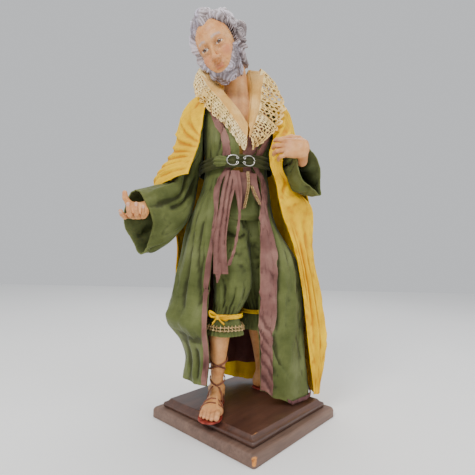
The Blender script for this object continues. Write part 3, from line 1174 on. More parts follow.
def cuff_gimp():
    """A looped gimp cord round the visible cuff."""
    _, *middle, width = RIGHT_BREECH[-1]
    a = np.linspace(0, 2 * pi, 1300, endpoint=False)
    loops = 30
    wave = loops * a
    z = 95.4 + 2.0 * sin(wave) - 1.2 * cos(2 * wave)
    turn = a + 0.045 * cos(wave)
    flare = 3.6 + 1.4 * (96 - z) / 7
    r = width + flare + 0.7 * sin(5 * a + z * 0.11) + 1.5 + 0.4 * cos(wave)
    path = around(middle, r, turn, z)
    core = around(middle, r - 0.2, a, 97.0 + 0.3 * sin(60 * a))
    points, faces = gather([tube_parts(path, 0.42, 5), tube_parts(core[::2], 0.5, 5)])
    make("cuff_gimp", "right_cuff_braid", points, faces, [GOLD], "gold_braid", closed=True)


BELT_LIFT = 0.35 + 0.9 + 0.5 + 0.35 + 2.6


def belt():
    """The girdle is a long green ribbon wound round the waist and knotted at the west front."""
    u, v = grid(170, 18, ring=True)
    bearing = 360 * u
    z = 252 + lerp(5.6, -5.6, v) - 2.5 * sin((bearing - 20) * RAD)
    knot = 2.2 * bell(bearing, 28, 12) * bell(v, 0.45, 0.5)
    pleats = 0.55 * sin(2 * pi * (2.6 * v + 0.35 * noise_flat(bearing / 26, 0, 161)))
    pleats += 0.35 * layered_flat(bearing / 12, v * 4.5, 164)
    lift = BELT_LIFT + knot + 0.5 * sin(v * pi) + pleats
    points = on_section(bearing, level_at(COAT_ROWS, z), z, lift)
    band = cloth("girdle", "belt", points[:, ::-1], 0.9, [GREEN_BELT], "silk_green", ring=True)
    # The knot is a short loop of the same ribbon laid over the band, and a tab joins the two hooks.
    for name, low, high, drop, rise, lift in (("girdle_knot", 17, 41, -5.4, 5.0, 3.4),
                                              ("girdle_tab", -10, 5, -1.6, 2.0, 2.2)):
        s, t = grid(40, 20)
        b = lerp(low, high, s)
        zz = 252.4 + lerp(rise, drop, t) * (1 - 0.34 * (2 * s - 1) ** 2)
        tuck = lift * (1 - 0.75 * np.abs(2 * s - 1) ** 2.4) * (1 - 0.5 * np.abs(2 * t - 1) ** 3)
        tuck = tuck + 0.4 * sin(5.5 * pi * t + 2 * s) + 0.3 * layered_flat(s * 3, t * 4, 167)
        p = on_section(b, level_at(COAT_ROWS, zz), zz, BELT_LIFT + 1.4 + tuck)
        silk_colour = GREEN if name == "girdle_knot" else GREEN_BELT
        piece = cloth(name, "belt", p, THIN_SILK, [silk_colour], "silk_green")


def hooks():
    for name, bearing, opening in (("right", 8, 0), ("left", 344, 180)):
        a = (opening + np.linspace(38, 322, 60)) * RAD
        b = bearing - 5.2 * cos(a) / 31 / RAD
        z = 253 + 4.8 * sin(a)
        path = on_section(b, level_at(COAT_ROWS, a * 0 + 252.0), z, BELT_LIFT + 0.35 + 2.6)
        # Each end is turned back in a small eye.
        ends = []
        for tip, before, sense in ((path[0], path[3], 1), (path[-1], path[-4], -1)):
            away = unit(tip - before)
            out = unit(tip - np.array([-15, -5, tip[2]]))
            aside = np.cross(away, out) * sense
            t = np.linspace(0, 1.55 * pi, 16)[1:]
            ends.append(tip + 0.95 * (sin(t)[:, None] * away + (cos(t) - 1)[:, None] * -aside) + 0.12
                        * t[:, None] * out)
        line = np.concatenate([ends[0][::-1], path, ends[1]])
        points, faces = tube_parts(line, 0.5, 12)
        make(f"hook_{name}", f"{name}_clasp_hook", points, faces, [SILVER], "silver_wire", closed=True)


def sash():
    """The end of a long mauve sash: a folded band, its narrow tail and two short pleats at the waist."""
    strips = [
        ("sash_band", [(-20, -37, 243), (-24, -39.5, 225), (-27.5, -42, 200), (-30, -44, 175),
                       (-28.5, -45, 146)], (6.4, 6.0, 5.3, 5.6, 6.6), -8, 3.0, 44, 130),
        ("sash_tip", [(-30.5, -44.0, 156), (-31, -44.8, 147), (-31.6, -45, 138)], (3, 2.6, 0.5), -8, 1.0,
         14, 40),
        ("sash_tail", [(-12.5, -40.5, 206), (-14, -42, 187), (-17, -43.5, 168), (-21.5, -45.5, 154)],
         (0.8, 1.1, 1.1, 1.6), 0, 0.0, 10, 90),
        ("sash_pleat", [(-18, -39.8, 243), (-14, -40.6, 222), (-12.3, -41, 200)], (4, 3.0, 0.5), 0, 1.4, 16,
         54)]
    for name, path, half, turn, folds, columns, rows in strips:
        s, t = grid(columns, rows)
        p = ribbon(path, half, turn, s, t)
        wave = 0
        if name == "sash_band":
            # The band is doubled lengthwise, with slanting pulls across it.
            turns = folds * s * lerp(1.0, 0.62, t) + 0.12 + 0.3 * t
            wave = 1.1 * sin(2 * pi * turns) * lerp(1.25, 0.85, t)
            slants = ((0.2, 0.16, 0.7), (0.34, -0.2, 0.6), (0.47, 0.2, 0.75), (0.58, -0.16, 0.6),
                      (0.69, 0.18, 0.7), (0.8, -0.14, 0.6), (0.9, 0.1, 0.6))
            for y0, tilt, depth in slants:
                wave += depth * bell(t, y0 + tilt * (s - 0.5), 0.022)
        elif name == "sash_pleat":
            wave = 0.6 * sin(2 * pi * (1.6 * s + 0.2))
        elif name == "sash_tail":
            wave = 0.5 * sin(2 * pi * (5 * t + 0.5 * s))
        wave += 0.35 * layered_flat(s * 2.5, t * rows / 12, 171)
        piece = cloth(name, "sash_end", p + normals_of(p) * wave[..., None], 0.75, [MAUVE], "silk_mauve")


# Collar and lace

COLLAR = [
    ((-7, -37.5, 290), (-7.4, -38.5, 276), (-9, -37, 262)),
    ((-17, -34.5, 306), (-22, -37, 297), (-27, -37.5, 284)),
    ((-28, -27, 321.5), (-34, -31, 315), (-40, -32, 298)),
    ((-39, -15, 340), (-47, -19, 334), (-55, -20.5, 318)),
    ((-49, -1, 359), (-58, -3, 358), (-59.5, -7, 334)), ((-42, 14, 360), (-51, 20, 356), (-56, 23, 336)),
    ((-18, 21, 360), (-18, 32, 355), (-18, 39.5, 328)), ((0, 13, 367), (8, 22, 364), (17, 29, 336)),
    ((-3.5, -1, 361), (13, 4, 364), (27, 0, 338)), ((-1.5, -15.5, 335), (8, -14, 334), (31, -15, 315)),
    ((-3.5, -27, 312), (5, -27, 309), (24.5, -27, 292)),
    ((-5, -36, 293), (-1.5, -37.5, 286), (9, -35, 273)),
    ((-6, -38, 288), (-4.4, -38.6, 276), (-2.5, -37, 263))]


def collar_surface(first, second, u, v, roll):
    a = spline([s[first] for s in COLLAR], u)
    b = spline([s[second] for s in COLLAR], u)
    out = unit(b * np.array([1, 1, 0]) - np.array([-14, -5, -6]))
    return lerp(a, b, v[..., None]) + out * (roll * sin(pi * v))[..., None], out


def collar():
    u, v = grid(250, 18)
    points, out = collar_surface(0, 1, u, v, 2.4)
    stitches = 0.28 * np.abs(sin(95 * pi * u)) * bell(v, 0.93, 0.07)
    soft = 0.5 * layered_flat(u * 34, v * 2.5, 181) + 0.8 * layered_flat(u * 13, v * 1.2, 182, 2)
    points += out * (stitches + soft * sin(pi * np.clip(v + 0.15, 0, 1)))[..., None]
    band = cloth("collar_band", "collar", points, 0.9, [LINEN], "linen_cream")
    # Inside the neck the linen stands up again round the throat.
    s, t = grid(140, 9)
    u = lerp(0.06, 0.95, s)
    crest, out = collar_surface(0, 1, u, t * 0, 2.4)
    neck = stacked(lerp(-15, -26, smooth((crest[..., 2] - 320) / 40)), crest[..., 2] * 0 - 8, crest[..., 2])
    inward = unit((neck - crest) * np.array([1, 1, 0]))
    points = crest + out * 0.5 + inward * (5.2 * t + 0.8)[..., None]
    points[..., 2] += 0.9 * sin(pi * np.clip(t * 1.6, 0, 1)) - 9 * t**1.5
    points += out * (0.25 * layered_flat(u * 30, t * 2, 185))[..., None]
    stand = cloth("collar_stand", "collar", points[:, ::-1], 0.7, [LINEN], "linen_cream")


def lace():
    """Bobbin lace gathered on the collar's seam: rows of holes with a scalloped edge of small loops."""
    frills, scallops, holes_round, hole_rows = 27, 66, 130, 7.0
    u, v = grid(540, 30)
    reach = lerp(-0.14, 1.0, v)
    points, out = collar_surface(1, 2, u, reach, 2.2)
    east = smooth((u - 0.55) / 0.12)
    wander = 0.35 * noise_flat(u * 18, 0, 191)
    phase = 2 * pi * (frills * u + wander + 0.25 * east * noise_flat(u * 20, v * 2, 193))
    deep = lerp(1.1, 2.0, east) * (0.3 + 1.1 * v) * smooth((v - 0.02) / 0.14)
    points -= out * (0.7 * bell(v, 0, 0.1))[..., None]
    flutter = deep * sin(phase) + 1.0 * v * layered_flat(u * 90, v * 4, 195, 2)
    points += out * flutter[..., None]
    slide = unit(np.gradient(points, axis=1))
    points += slide * (0.7 * v * sin(2 * phase))[..., None]
    scallop = np.abs(sin(pi * scallops * u)) ** 0.6
    points[..., 2] += 2.2 * (1 - scallop) * smooth((v - 0.78) / 0.22) + 0.5 * v * noise_flat(u * 60, 0, 197)
    # Holes: a net of eyes between the pleats, larger near the edge.
    cu = (u[:-1, :-1] + u[1:, 1:]) / 2
    cv = (v[:-1, :-1] + v[1:, 1:]) / 2
    net_u, net_v = cu * holes_round, cv * hole_rows
    odd = np.floor(net_v) % 2 * 0.5
    du, dv = (net_u + odd) % 1 - 0.5, net_v % 1 - 0.5
    size = 0.29 + 0.1 * noise_flat(np.floor(net_u + odd) * 1.7, np.floor(net_v) * 2.3, 199)
    hole = (np.hypot(du, dv * 0.8) < size + 0.05 * east[:-1, :-1]) & (cv > 0.14) & (cv < 0.93)
    solid = noise_flat(cu * 26, cv * 2.2, 201) > 0.5
    hole &= ~(solid & (cv < 0.72) & (east[:-1, :-1] < 0.5))
    trim = cloth("lace_trim", "lace_collar", points, 0.55, [LACE], "lace_cream", keep=~hole)


# Solid forms from distance fields, in millimetres


class Field:
    """Signed distance on a box of voxels, negative inside."""

    def __init__(self, low, high, voxel):
        self.low, self.voxel = np.asarray(low, float), voxel
        count = [int(math.ceil((h - l) / voxel)) + 1 for l, h in zip(low, high)]
        axes = [np.float32(l) + np.arange(n, dtype=np.float32) * np.float32(voxel)
                for l, n in zip(low, count)]
        self.x, self.y, self.z = np.meshgrid(*axes, indexing="ij")
        self.value = np.full(self.x.shape, 9.0, np.float32)

    def turned(self, matrix):
        """Makes this field's coordinates those of a local frame, given its world matrix."""
        inverse = np.array(matrix.inverted(), float)
        x, y, z = self.x, self.y, self.z
        self.x, self.y, self.z = (np.float32(row[0]) * x + np.float32(row[1]) * y + np.float32(row[2]) * z
                                  + np.float32(row[3]) for row in inverse[:3])
        return x, y, z

    def egg(self, c, r, turn=None):
        x, y, z = self.x - c[0], self.y - c[1], self.z - c[2]
        if turn is not None:
            m = np.array(turn, float).T
            x, y, z = (m[i][0] * x + m[i][1] * y + m[i][2] * z for i in range(3))
        k0 = np.sqrt((x / r[0]) ** 2 + (y / r[1]) ** 2 + (z / r[2]) ** 2)
        k1 = np.sqrt((x / r[0] ** 2) ** 2 + (y / r[1] ** 2) ** 2 + (z / r[2] ** 2) ** 2)
        return (k0 * (k0 - 1) / np.maximum(k1, 1e-6)).astype(np.float32)

    def ball(self, c, r):
        return np.sqrt((self.x - c[0]) ** 2 + (self.y - c[1]) ** 2 + (self.z - c[2]) ** 2) - np.float32(r)

    def cone(self, a, b, ra, rb):
        a, b = np.asarray(a, float), np.asarray(b, float)
        d = b - a
        x, y, z = self.x - a[0], self.y - a[1], self.z - a[2]
        t = np.clip((x * d[0] + y * d[1] + z * d[2]) / max(d @ d, 1e-9), 0, 1)
        away = np.sqrt((x - t * d[0]) ** 2 + (y - t * d[1]) ** 2 + (z - t * d[2]) ** 2)
        return (away - (ra + (rb - ra) * t)).astype(np.float32)

    def add(self, shape, k=0.0):
        self.value = melt(self.value, shape, k)

    def cut(self, shape, k=0.0):
        self.value = -melt(-self.value, shape, k)

    def mesh(self):
        volume = openvdb.FloatGrid(9.0)
        volume.copyFromArray(np.ascontiguousarray(self.value, dtype=np.float64))
        points, faces = volume.convertToQuads(0.0)
        points = self.low + np.asarray(points, float) * self.voxel
        faces = np.asarray(faces, np.int64)
        a, b, c, d = (points[faces[:, k]] for k in range(4))
        if (np.cross(c - a, d - b) * (a + c)).sum() < 0:
            faces = faces[:, ::-1]
        return relaxed(points, faces), faces


def melt(a, b, k):
    """The union of two fields with a fillet of about k."""
    if k <= 0:
        return np.minimum(a, b)
    h = np.clip(0.5 + 0.5 * (b - a) / k, 0, 1)
    return (b + (a - b) * h - k * h * (1 - h)).astype(np.float32)


def relaxed(points, faces):
    """Evens out voxel steps, alternating a smoothing and a sharpening pass."""
    edges = np.concatenate([faces[:, [k, (k + 1) % 4]] for k in range(4)])
    count = np.bincount(edges[:, 0], minlength=len(points)).astype(float)[:, None]
    for factor in (0.5, -0.5, 0.5, -0.5):
        mean = np.zeros_like(points)
        for axis in range(3):
            mean[:, axis] = np.bincount(edges[:, 0], points[edges[:, 1], axis], len(points))
        mean /= np.maximum(count, 1)
        points += factor * (mean - points)
    return points


# Head. Local frame: x to the figure's left, y backward, z up, the eyes at z = 0.

HEAD_MATRIX = Matrix.Translation((-35, -24, 369.5)) @ Matrix.Rotation(-24 * RAD, 4, "Z") \
    @ Matrix.Rotation(24 * RAD, 4, "X") @ Matrix.Rotation(-20 * RAD, 4, "Y")
CHEST_ROWS = [
    (370, -25, -14, 13, 13, 12, 12, 12), (345, -19, -10, 12.5, 12.5, 12, 12, 12),
    (334, -17, -8, 13, 12.5, 13, 13, 13), (324, -15, -6, 17, 15.5, 16, 16, 15),
    (305, -14, -5, 25, 25, 22, 22, 17), (282, -14, -5, 23, 23, 20, 20, 16)]
EYE = (8.2, -17.0, 0.3)
EYE_RADIUS = 4.7


def carried(matrix, points):
    m = np.array(matrix, float)
    return points @ m[:3, :3].T + m[:3, 3]


def frame_of(x, y, z, origin):
    """The matrix of a frame with these axes at that place."""
    return Matrix([*zip(x, y, z, origin), (0, 0, 0, 1)])


def skin_piece(name, node, points, faces, paint):
    make(name, node, points, faces, [SKIN], "painted_skin", attributes={"paint": paint}, crease=75)


def both(shape, *args):
    """The same form on both sides of the face."""
    left = shape(*args)
    mirrored = [tuple([-p[0], *p[1:]]) if isinstance(p, tuple) else p for p in args]
    return np.minimum(left, shape(*mirrored))


def head_points():
    f = Field((-63, -60, 282), (12, 22, 404), HEAD_VOXEL)
    world = f.turned(HEAD_MATRIX)
    value = melt(f.egg((0, 1.5, 6), (20.2, 24.3, 22.5)), f.egg((0, -5, 10.5), (17.2, 17.6, 16.5)), 5)
    f.value = value
    f.add(f.egg((0, -5.5, -10), (14.6, 15.6, 18)), 6)
    f.add(f.egg((0, -9, -21.5), (10.8, 12.2, 8.6)), 6)
    f.add(both(f.egg, (9.6, -14.6, -7.2), (6.2, 5.8, 5.0)), 5)
    f.add(both(f.egg, (8.6, -13.4, -14.5), (5.4, 5.8, 6.4)), 5)
    f.add(both(f.cone, (3.2, -20.6, 5.4), (11.4, -17.0, 5.9), 2.3, 1.9), 4.5)
    f.add(f.egg((0, -15.2, -17.6), (8.4, 7.6, 7.2)), 5)
    # Eye hollows, then the nose from its root to the tip, with wings and nostrils.
    f.cut(both(f.egg, (8.0, -23.6, 0.8), (5.6, 4.2, 3.9)), 3.2)
    f.add(f.cone((0, -20.2, 3.4), (0, -27.2, -9.6), 1.7, 2.1), 2.6)
    f.add(f.ball((0, -27.2, -10.7), 2.7), 1.6)
    f.add(f.cone((0, -25.5, -12.4), (0, -22.6, -14.2), 1.2, 1.6), 1.6)
    f.add(both(f.egg, (3.2, -24.0, -11.5), (1.9, 2.9, 2.0)), 1.4)
    f.cut(both(f.egg, (1.75, -25.4, -13.5), (0.85, 1.5, 1.0)), 0.5)
    f.cut(both(f.cone, (4.6, -22.8, -9.6), (5.1, -22.2, -12.6), 0.35, 0.35), 0.9)
    # Lips at rest, the groove above them and the chin below.
    f.cut(f.cone((0, -24.2, -14.6), (0, -24.2, -16.3), 0.5, 0.6), 1.2)
    f.add(both(f.egg, (1.9, -22.3, -17.5), (3.6, 1.9, 1.15)), 1.1)
    f.add(f.egg((0, -22.2, -20.0), (4.4, 2.0, 1.45)), 1.1)
    f.cut(both(f.cone, (0, -24.9, -18.6), (3.4, -23.9, -18.5), 0.28, 0.26), 0.55)
    f.cut(both(f.cone, (3.4, -23.9, -18.5), (6.2, -21.6, -18.9), 0.28, 0.3), 0.7)
    f.cut(f.egg((0, -24.0, -22.7), (4.0, 1.5, 0.9)), 2.2)
    f.add(f.ball((0, -18.2, -26.2), 4.4), 3.6)
    # Soft folds of age: from the nose to the mouth, under the eyes and across the forehead.
    f.cut(both(f.cone, (5.6, -22.6, -11.8), (8.4, -20.4, -18.0), 0.3, 0.4), 1.9)
    f.cut(both(f.cone, (5.4, -20.9, -4.6), (10.8, -18.9, -3.9), 0.25, 0.25), 1.5)
    for z, reach in ((12.0, 8.5), (15.2, 8.0), (18.2, 6.5)):
        f.cut(both(f.cone, (0, -22.9 + (z - 12) * 0.42, z - 0.4), (reach, -20.6 + (z - 12) * 0.35, z + 0.5),
                   0.22, 0.1), 1.3)
    f.cut(both(f.cone, (1.5, -22.2, 5.0), (1.8, -22.0, 8.0), 0.15, 0.1), 1.1)
    # Lids: a shell round each eyeball with a leaf-shaped opening.
    for side in (1, -1):
        cx, cy, cz = EYE[0] * side, EYE[1], EYE[2]
        f.add(f.ball((cx, cy, cz), EYE_RADIUS + 0.75), 0.9)
        across = (f.x - cx) / 4.15
        arch = np.clip(1 - across**2, 0, 1)
        upper = 1.75 * arch**0.75 + 0.25 * across * side
        lower = 1.35 * arch**0.9 - 0.25 * across * side
        leaf = np.maximum(f.z - cz - upper, cz - f.z - lower)
        leaf = np.maximum(leaf, (np.abs(across) - 1) * 4.15)
        leaf = np.maximum(leaf, f.y - cy + 0.3)
        f.value = np.maximum(f.value, -leaf.astype(np.float32))
        crease = f.cone((cx - 4.0, -20.3, cz + 2.5), (cx, -21.9, cz + 3.75), 0.2, 0.22)
        crease = np.minimum(crease, f.cone((cx, -21.9, cz + 3.75), (cx + 4.2, -19.6, cz + 2.3), 0.22, 0.2))
        f.cut(crease, 0.6)
        f.add(f.ball((cx, cy + 0.3, cz), EYE_RADIUS - 0.7), 0)
    # Ears, mostly under the hair.
    f.add(both(f.egg, (18.6, 0.5, -3.0), (2.4, 4.8, 7.6)), 1.2)
    f.cut(both(f.egg, (20.8, -0.6, -2.4), (1.3, 2.6, 4.6)), 0.8)
    # Neck and chest, by the level rows, in the world's own frame.
    x, y, z = world
    level = level_at(CHEST_ROWS, np.clip(z[0, 0, :], 282, 370))
    dx = level["x"][None, None, :] - x
    dy = level["y"][None, None, :] - y
    r = np.hypot(dx, dy)
    s, c = dx / np.maximum(r, 1e-6), dy / np.maximum(r, 1e-6)
    side = np.where(s > 0, level["west"][None, None, :], level["east"][None, None, :])
    front = np.where(c > 0, level["front_west"][None, None, :], level["back"][None, None, :])
    radial = r - 1 / np.sqrt(np.maximum((s / side) ** 2 + (c / front) ** 2, 1e-6))
    trunk = np.maximum(radial * 0.9, np.maximum(284 - z, z - 362)).astype(np.float32)
    f.add(trunk, 5)
    f.value = np.maximum(f.value, (283.0 - z).astype(np.float32))
    return f.mesh()


def hair_line(turn, rise):
    """How far a direction from the head's middle lies inside the hair or beard, each from 0 to 1."""
    side = np.abs(turn)
    line = np.where(side < 0.9, lerp(0.84, 0.66, side / 0.9) + 0.26 * sin(pi * side / 0.9) ** 2,
                    lerp(0.66, -0.98, smooth((side - 0.9) / 0.7)))
    hair = smooth((rise - line) / 0.1 + 0.5)
    beard_line = -0.83 + 0.63 * smooth((side - 0.25) / 0.95)
    beard = smooth((beard_line - rise) / 0.1 + 0.5) * smooth((2.2 - side) / 0.5) * (1 - hair)
    return hair, beard


def to_local(points):
    return carried(HEAD_MATRIX.inverted(), points)


def to_world(points):
    return carried(HEAD_MATRIX, points)


SKIN_PAINT = {
    "rouge": (0.62, 0.21, 0.13), "lip": (0.46, 0.11, 0.07), "shade": (0.30, 0.15, 0.08),
    "brow": (0.46, 0.40, 0.38), "grey": (0.30, 0.25, 0.24)}


def face_paint(points):
    """Paint laid on the head: rouge, lips, brows, a warm shade in the hollows and grey roots of hair."""
    p = to_local(points)
    x, y, z = np.abs(p[:, 0]), p[:, 1], p[:, 2]
    front = smooth((-4 - y) / 8)
    turn = np.arctan2(p[:, 0], -p[:, 1])
    rise = np.arctan2(p[:, 2], np.hypot(p[:, 0], p[:, 1]))
    colour = np.tile(np.array(SKIN_PAINT["rouge"]), (len(p), 1))
    alpha = np.zeros(len(p))

    def lay(name, amount):
        nonlocal colour, alpha
        amount = np.clip(amount, 0, 1)
        total = np.maximum(alpha + amount * (1 - alpha), 1e-6)
        share = (amount / total)[:, None]
        colour = colour * (1 - share) + np.array(SKIN_PAINT[name]) * share
        alpha = total

    lay("rouge", 0.55 * bell(x, 11.5, 5.5) * bell(z, -8.5, 5.5) * front)
    lay("rouge", 0.32 * bell(x, 0, 3.6) * bell(z, -11, 3.4) * front)
    lay("rouge", 0.12 * bell(z, 12, 9) * front)
    lay("rouge", 0.4 * bell(x, 19.5, 3) * bell(z, -3, 8) * smooth((y + 8) / 6))
    lay("shade", 0.5 * bell(x, 8.2, 4.6) * bell(z, 3.1, 1.3) * front)
    lay("shade", 0.34 * bell(x, 3.4, 1.8) * bell(z, -1.5, 4.5) * front)
    lay("shade", 0.4 * bell(x, 4.6, 1.2) * bell(z, -11.6, 1.8) * front)
    lay("shade", 0.34 * bell(x, 8.0, 4.6) * bell(z, -3.2, 1.4) * front)
    lay("shade", 0.5 * bell(x, 1.75, 0.9) * bell(z, -13.5, 0.9) * front)
    mouth = bell(x, 0, 4.6)
    lay("lip", 0.75 * smooth((5.4 - x) / 2) * (bell(z, -17.6, 0.7) + bell(z, -19.9, 0.95)) * front)
    lay("shade", 0.7 * smooth((6.4 - x) / 2) * bell(z, -18.6 + 0.12 * (x / 6) ** 2, 0.32) * front
        * (0.6 + 0.4 * mouth))
    lash = np.hypot((x - EYE[0]) / 4.3, (z - EYE[2]) / 2.0)
    lay("shade", 0.62 * bell(lash, 1.0, 0.16) * (z > EYE[2] - 0.4) * front * (y > -23.6))
    arch = 6.1 + 1.5 * bell(x, 8.6, 4.6)
    hairs = 0.75 + 0.35 * noise_flat(p[:, 0] * 2.1 + z * 0.8, z * 0.9, 211)
    lay("brow", 0.95 * hairs * bell(z, arch, 1.15) * smooth((x - 2.6) / 1.5) * smooth((13.4 - x) / 2)
        * front)
    hair, beard = hair_line(turn, rise)
    fade = np.maximum(hair, beard)
    stubble = smooth((fade + 0.28 * noise(p / 1.6, 213) - 0.12) / 0.6)
    near = smooth((p[:, 2] + 33) / 3) * smooth((38 - np.linalg.norm(p, axis=1)) / 3)
    lay("grey", 0.85 * stubble * near)
    streaks = noise_flat(points[:, 0] / 2.6, points[:, 2] / 28, 215)
    lay("shade", (0.42 + 0.25 * streaks) * smooth((342 - points[:, 2]) / 22))
    moustache = bell(z, -15.7, 1.5) * smooth((x - 1.2) / 3) * smooth((8.5 - x) / 2) * front
    lay("grey", 0.22 * moustache * hairs)
    return np.concatenate([colour, alpha[:, None]], 1)


def scalp_radius(d):
    """The bare head's radius along unit directions, near enough for what the hair hides."""
    side = lerp(20.4, 14.2, smooth(-d[..., 2] * 1.1))
    depth = np.where(d[..., 1] < 0, 22.4, 25.4)
    height = np.where(d[..., 2] > 0, 28.4, 29.5)
    return (np.abs(d[..., 0] / side) ** 2.4 + np.abs(d[..., 1] / depth) ** 2.4
            + np.abs(d[..., 2] / height) ** 2.4) ** (-1 / 2.4)


# The hair's large swirls: turn and rise from the head's middle, spread and height.
SWIRLS = [
    (-2.1, 1.34, 0.36, 12), (2.5, 0.92, 0.36, 11.5), (2.4, 0.36, 0.36, 13), (2.0, -0.75, 0.45, 6),
    (-1.4, 0.1, 0.4, 2)]


def toward(turn, rise):
    return stacked(cos(rise) * sin(turn), -cos(rise) * cos(turn), sin(rise))


def curls(d, count, pitch, seed):
    """Curls that lie side by side over unit directions: how full each is, and the phase of its strands."""
    k = np.arange(count)
    rise = np.arcsin(1 - 2 * (k + 0.5) / count)
    wander = np.stack([noise_flat(k * 1.37, 0, seed + n) for n in range(2)])
    centres = toward(k * GOLDEN_TURN + 0.35 * wander[0], rise + 0.12 * wander[1])
    bent = unit(d + 0.13 * np.stack([noise(d * 2.6, seed + 5 + n) for n in range(3)], -1))
    apart = np.arccos(np.clip(bent @ centres.T, -1, 1))
    order = np.argsort(apart, axis=-1)[..., :2]
    first, second = (np.take_along_axis(apart, order[..., n:n + 1], -1)[..., 0] for n in range(2))
    middle = centres[order[..., 0]]
    aside = unit(np.cross(middle, (0.31, 0.2, 0.93)))
    over = np.cross(middle, aside)
    around = np.arctan2((bent * over).sum(-1), (bent * aside).sum(-1))
    sense = np.where(order[..., 0] % 3 == 0, -1, 1)
    phase = 2 * pi * first * 30 / pitch + sense * around
    return smooth((second - first) / 0.3 + 0.2), phase, first, around


def hair():
    """Modelled locks: a shell over the scalp and jaw, swollen into curls with spiral grooves."""
    head_mesh = bpy.data.objects["head_painted"].data
    count = len(head_mesh.vertices)
    flat = np.empty(count * 3)
    head_mesh.vertices.foreach_get("co", flat)
    local = to_local(flat.reshape(-1, 3) / MM)
    tree = BVHTree.FromPolygons([tuple(q) for q in local], [tuple(f.vertices) for f in head_mesh.polygons])
    u, v = grid(214, 126, ring=True)
    turn, rise = lerp(-pi, pi, u), lerp(-1.3, 1.565, v)
    d = toward(turn, rise)
    skin = np.empty(u.shape)
    for at in np.ndindex(u.shape):
        skin[at] = tree.ray_cast((0, 0, 0), tuple(d[at]))[3] or 30
    chin = bell(rise, -0.88, 0.25) * smooth((1.1 - np.abs(turn)) / 0.4)
    base = np.minimum(skin, scalp_radius(d) + 3 + 6 * chin)
    hair_in, beard_in = hair_line(turn, rise)
    full, phase, first, around_lock = curls(d, 40, 3.3, 301)
    small, fine, first_b, around_b = curls(d, 105, 2.3, 331)
    swirl = np.zeros(u.shape)
    for t0, r0, spread, height in SWIRLS:
        swirl = np.maximum(swirl, height * bell(np.arccos(np.clip(d @ toward(t0, r0), -1, 1)), 0, spread))
    strands = cos(phase) * smooth(first / 0.05)
    strands_b = cos(fine) * smooth(first_b / 0.04)
    nape = lerp(3.0, 0.6, smooth((-0.1 - rise) / 0.5))
    behind = smooth((np.abs(turn) - 1.6) / 0.6)
    waves = sin(7 * turn + 3 * sin(3.5 * rise) + 1.2 * noise(d * 3, 305)) * behind
    locks = hair_in * (nape + 0.88 * swirl + lerp(4.2, 2.4, behind) * full + 0.6 * full * strands
                       + 0.9 * waves - 1.2)
    whiskers = beard_in * (1.9 + 3.0 * small + 0.5 * small * strands_b)
    amount = np.maximum(hair_in, beard_in)
    r = base - 1.4 + 1.4 * smooth(amount / 0.5) + np.maximum(locks, whiskers)
    points = to_world((d * r[..., None]).reshape(-1, 3)).reshape(*u.shape, 3)
    keep = amount[:-1] > 0.04
    beard = beard_in > hair_in
    cut = np.where(beard[..., None], np.stack([fine * 0.06, around_b * 5], -1),
                   np.stack([phase * 0.07, around_lock * 5], -1))
    crest = np.where(beard, 0.66 * small + 0.3 * strands_b - 0.04, 0.66 * full + 0.3 * strands - 0.02)
    shaded = smooth((turn - 0.6) / 1.2) * smooth((0.9 - rise) / 0.6)
    crest = np.clip(crest + 0.2 * noise(points / 7, 341) + 0.1 - 0.4 * shaded * ~beard, 0, 1)
    light, body, dark = np.array([(0.76, 0.70, 0.78), (0.34, 0.275, 0.265), (0.09, 0.055, 0.04)])
    high, low = (2 * crest - 1)[..., None], (2 * crest)[..., None]
    colour = np.where(crest[..., None] > 0.5, lerp(body, light, high), lerp(dark, body, low))
    lilac = np.maximum(smooth((rise - 0.4) / 0.5) * smooth((0.1 - turn) / 0.5), 0.5 * beard)[..., None]
    colour = colour * lerp(np.ones(3), np.array((0.93, 0.95, 1.12)), lilac)
    colour = colour * np.where(beard, 0.82, 1.0)[..., None]
    paint = np.concatenate([colour, np.full((*u.shape, 1), 0.85)], -1).reshape(-1, 4)
    outward(cloth("hair_and_beard", "head_and_chest", points, 1.2, [HAIR], "painted_skin", ring=True,
                  keep=keep, uv=cut, paint=paint))


def head():
    points, faces = head_points()
    paint = face_paint(points)
    skin_piece("head_painted", "head_and_chest", points, faces, paint)
    for side, name in ((1, "left"), (-1, "right")):
        rows, columns = 40, 48
        theta = np.linspace(0, pi, rows)[:, None]
        phi = np.linspace(0, 2 * pi, columns, endpoint=False)[None, :]
        r = EYE_RADIUS - 0.02 + 0.22 * bell(theta, 0, 0.34)
        # The gaze is a little down and level.
        ball = stacked(r * sin(theta) * cos(phi), -r * cos(theta), r * sin(theta) * sin(phi))
        gaze = np.array(Matrix.Rotation(-7 * RAD, 3, "X") @ Matrix.Rotation(0.05 * side, 3, "Z"))
        ball = ball @ gaze.T + np.array([EYE[0] * side, EYE[1], EYE[2]])
        centre = np.repeat((theta[:-1, 0] + theta[1:, 0]) / 2, columns)
        index = np.where(centre < 0.2, 2, np.where(centre < 0.47, 1, 0))
        make(f"eye_{name}", "head_and_chest", to_world(ball.reshape(-1, 3)), quads(rows, columns, True),
             [EYE_WHITE, IRIS, PUPIL], "painted_skin", index, closed=True)


# Hands

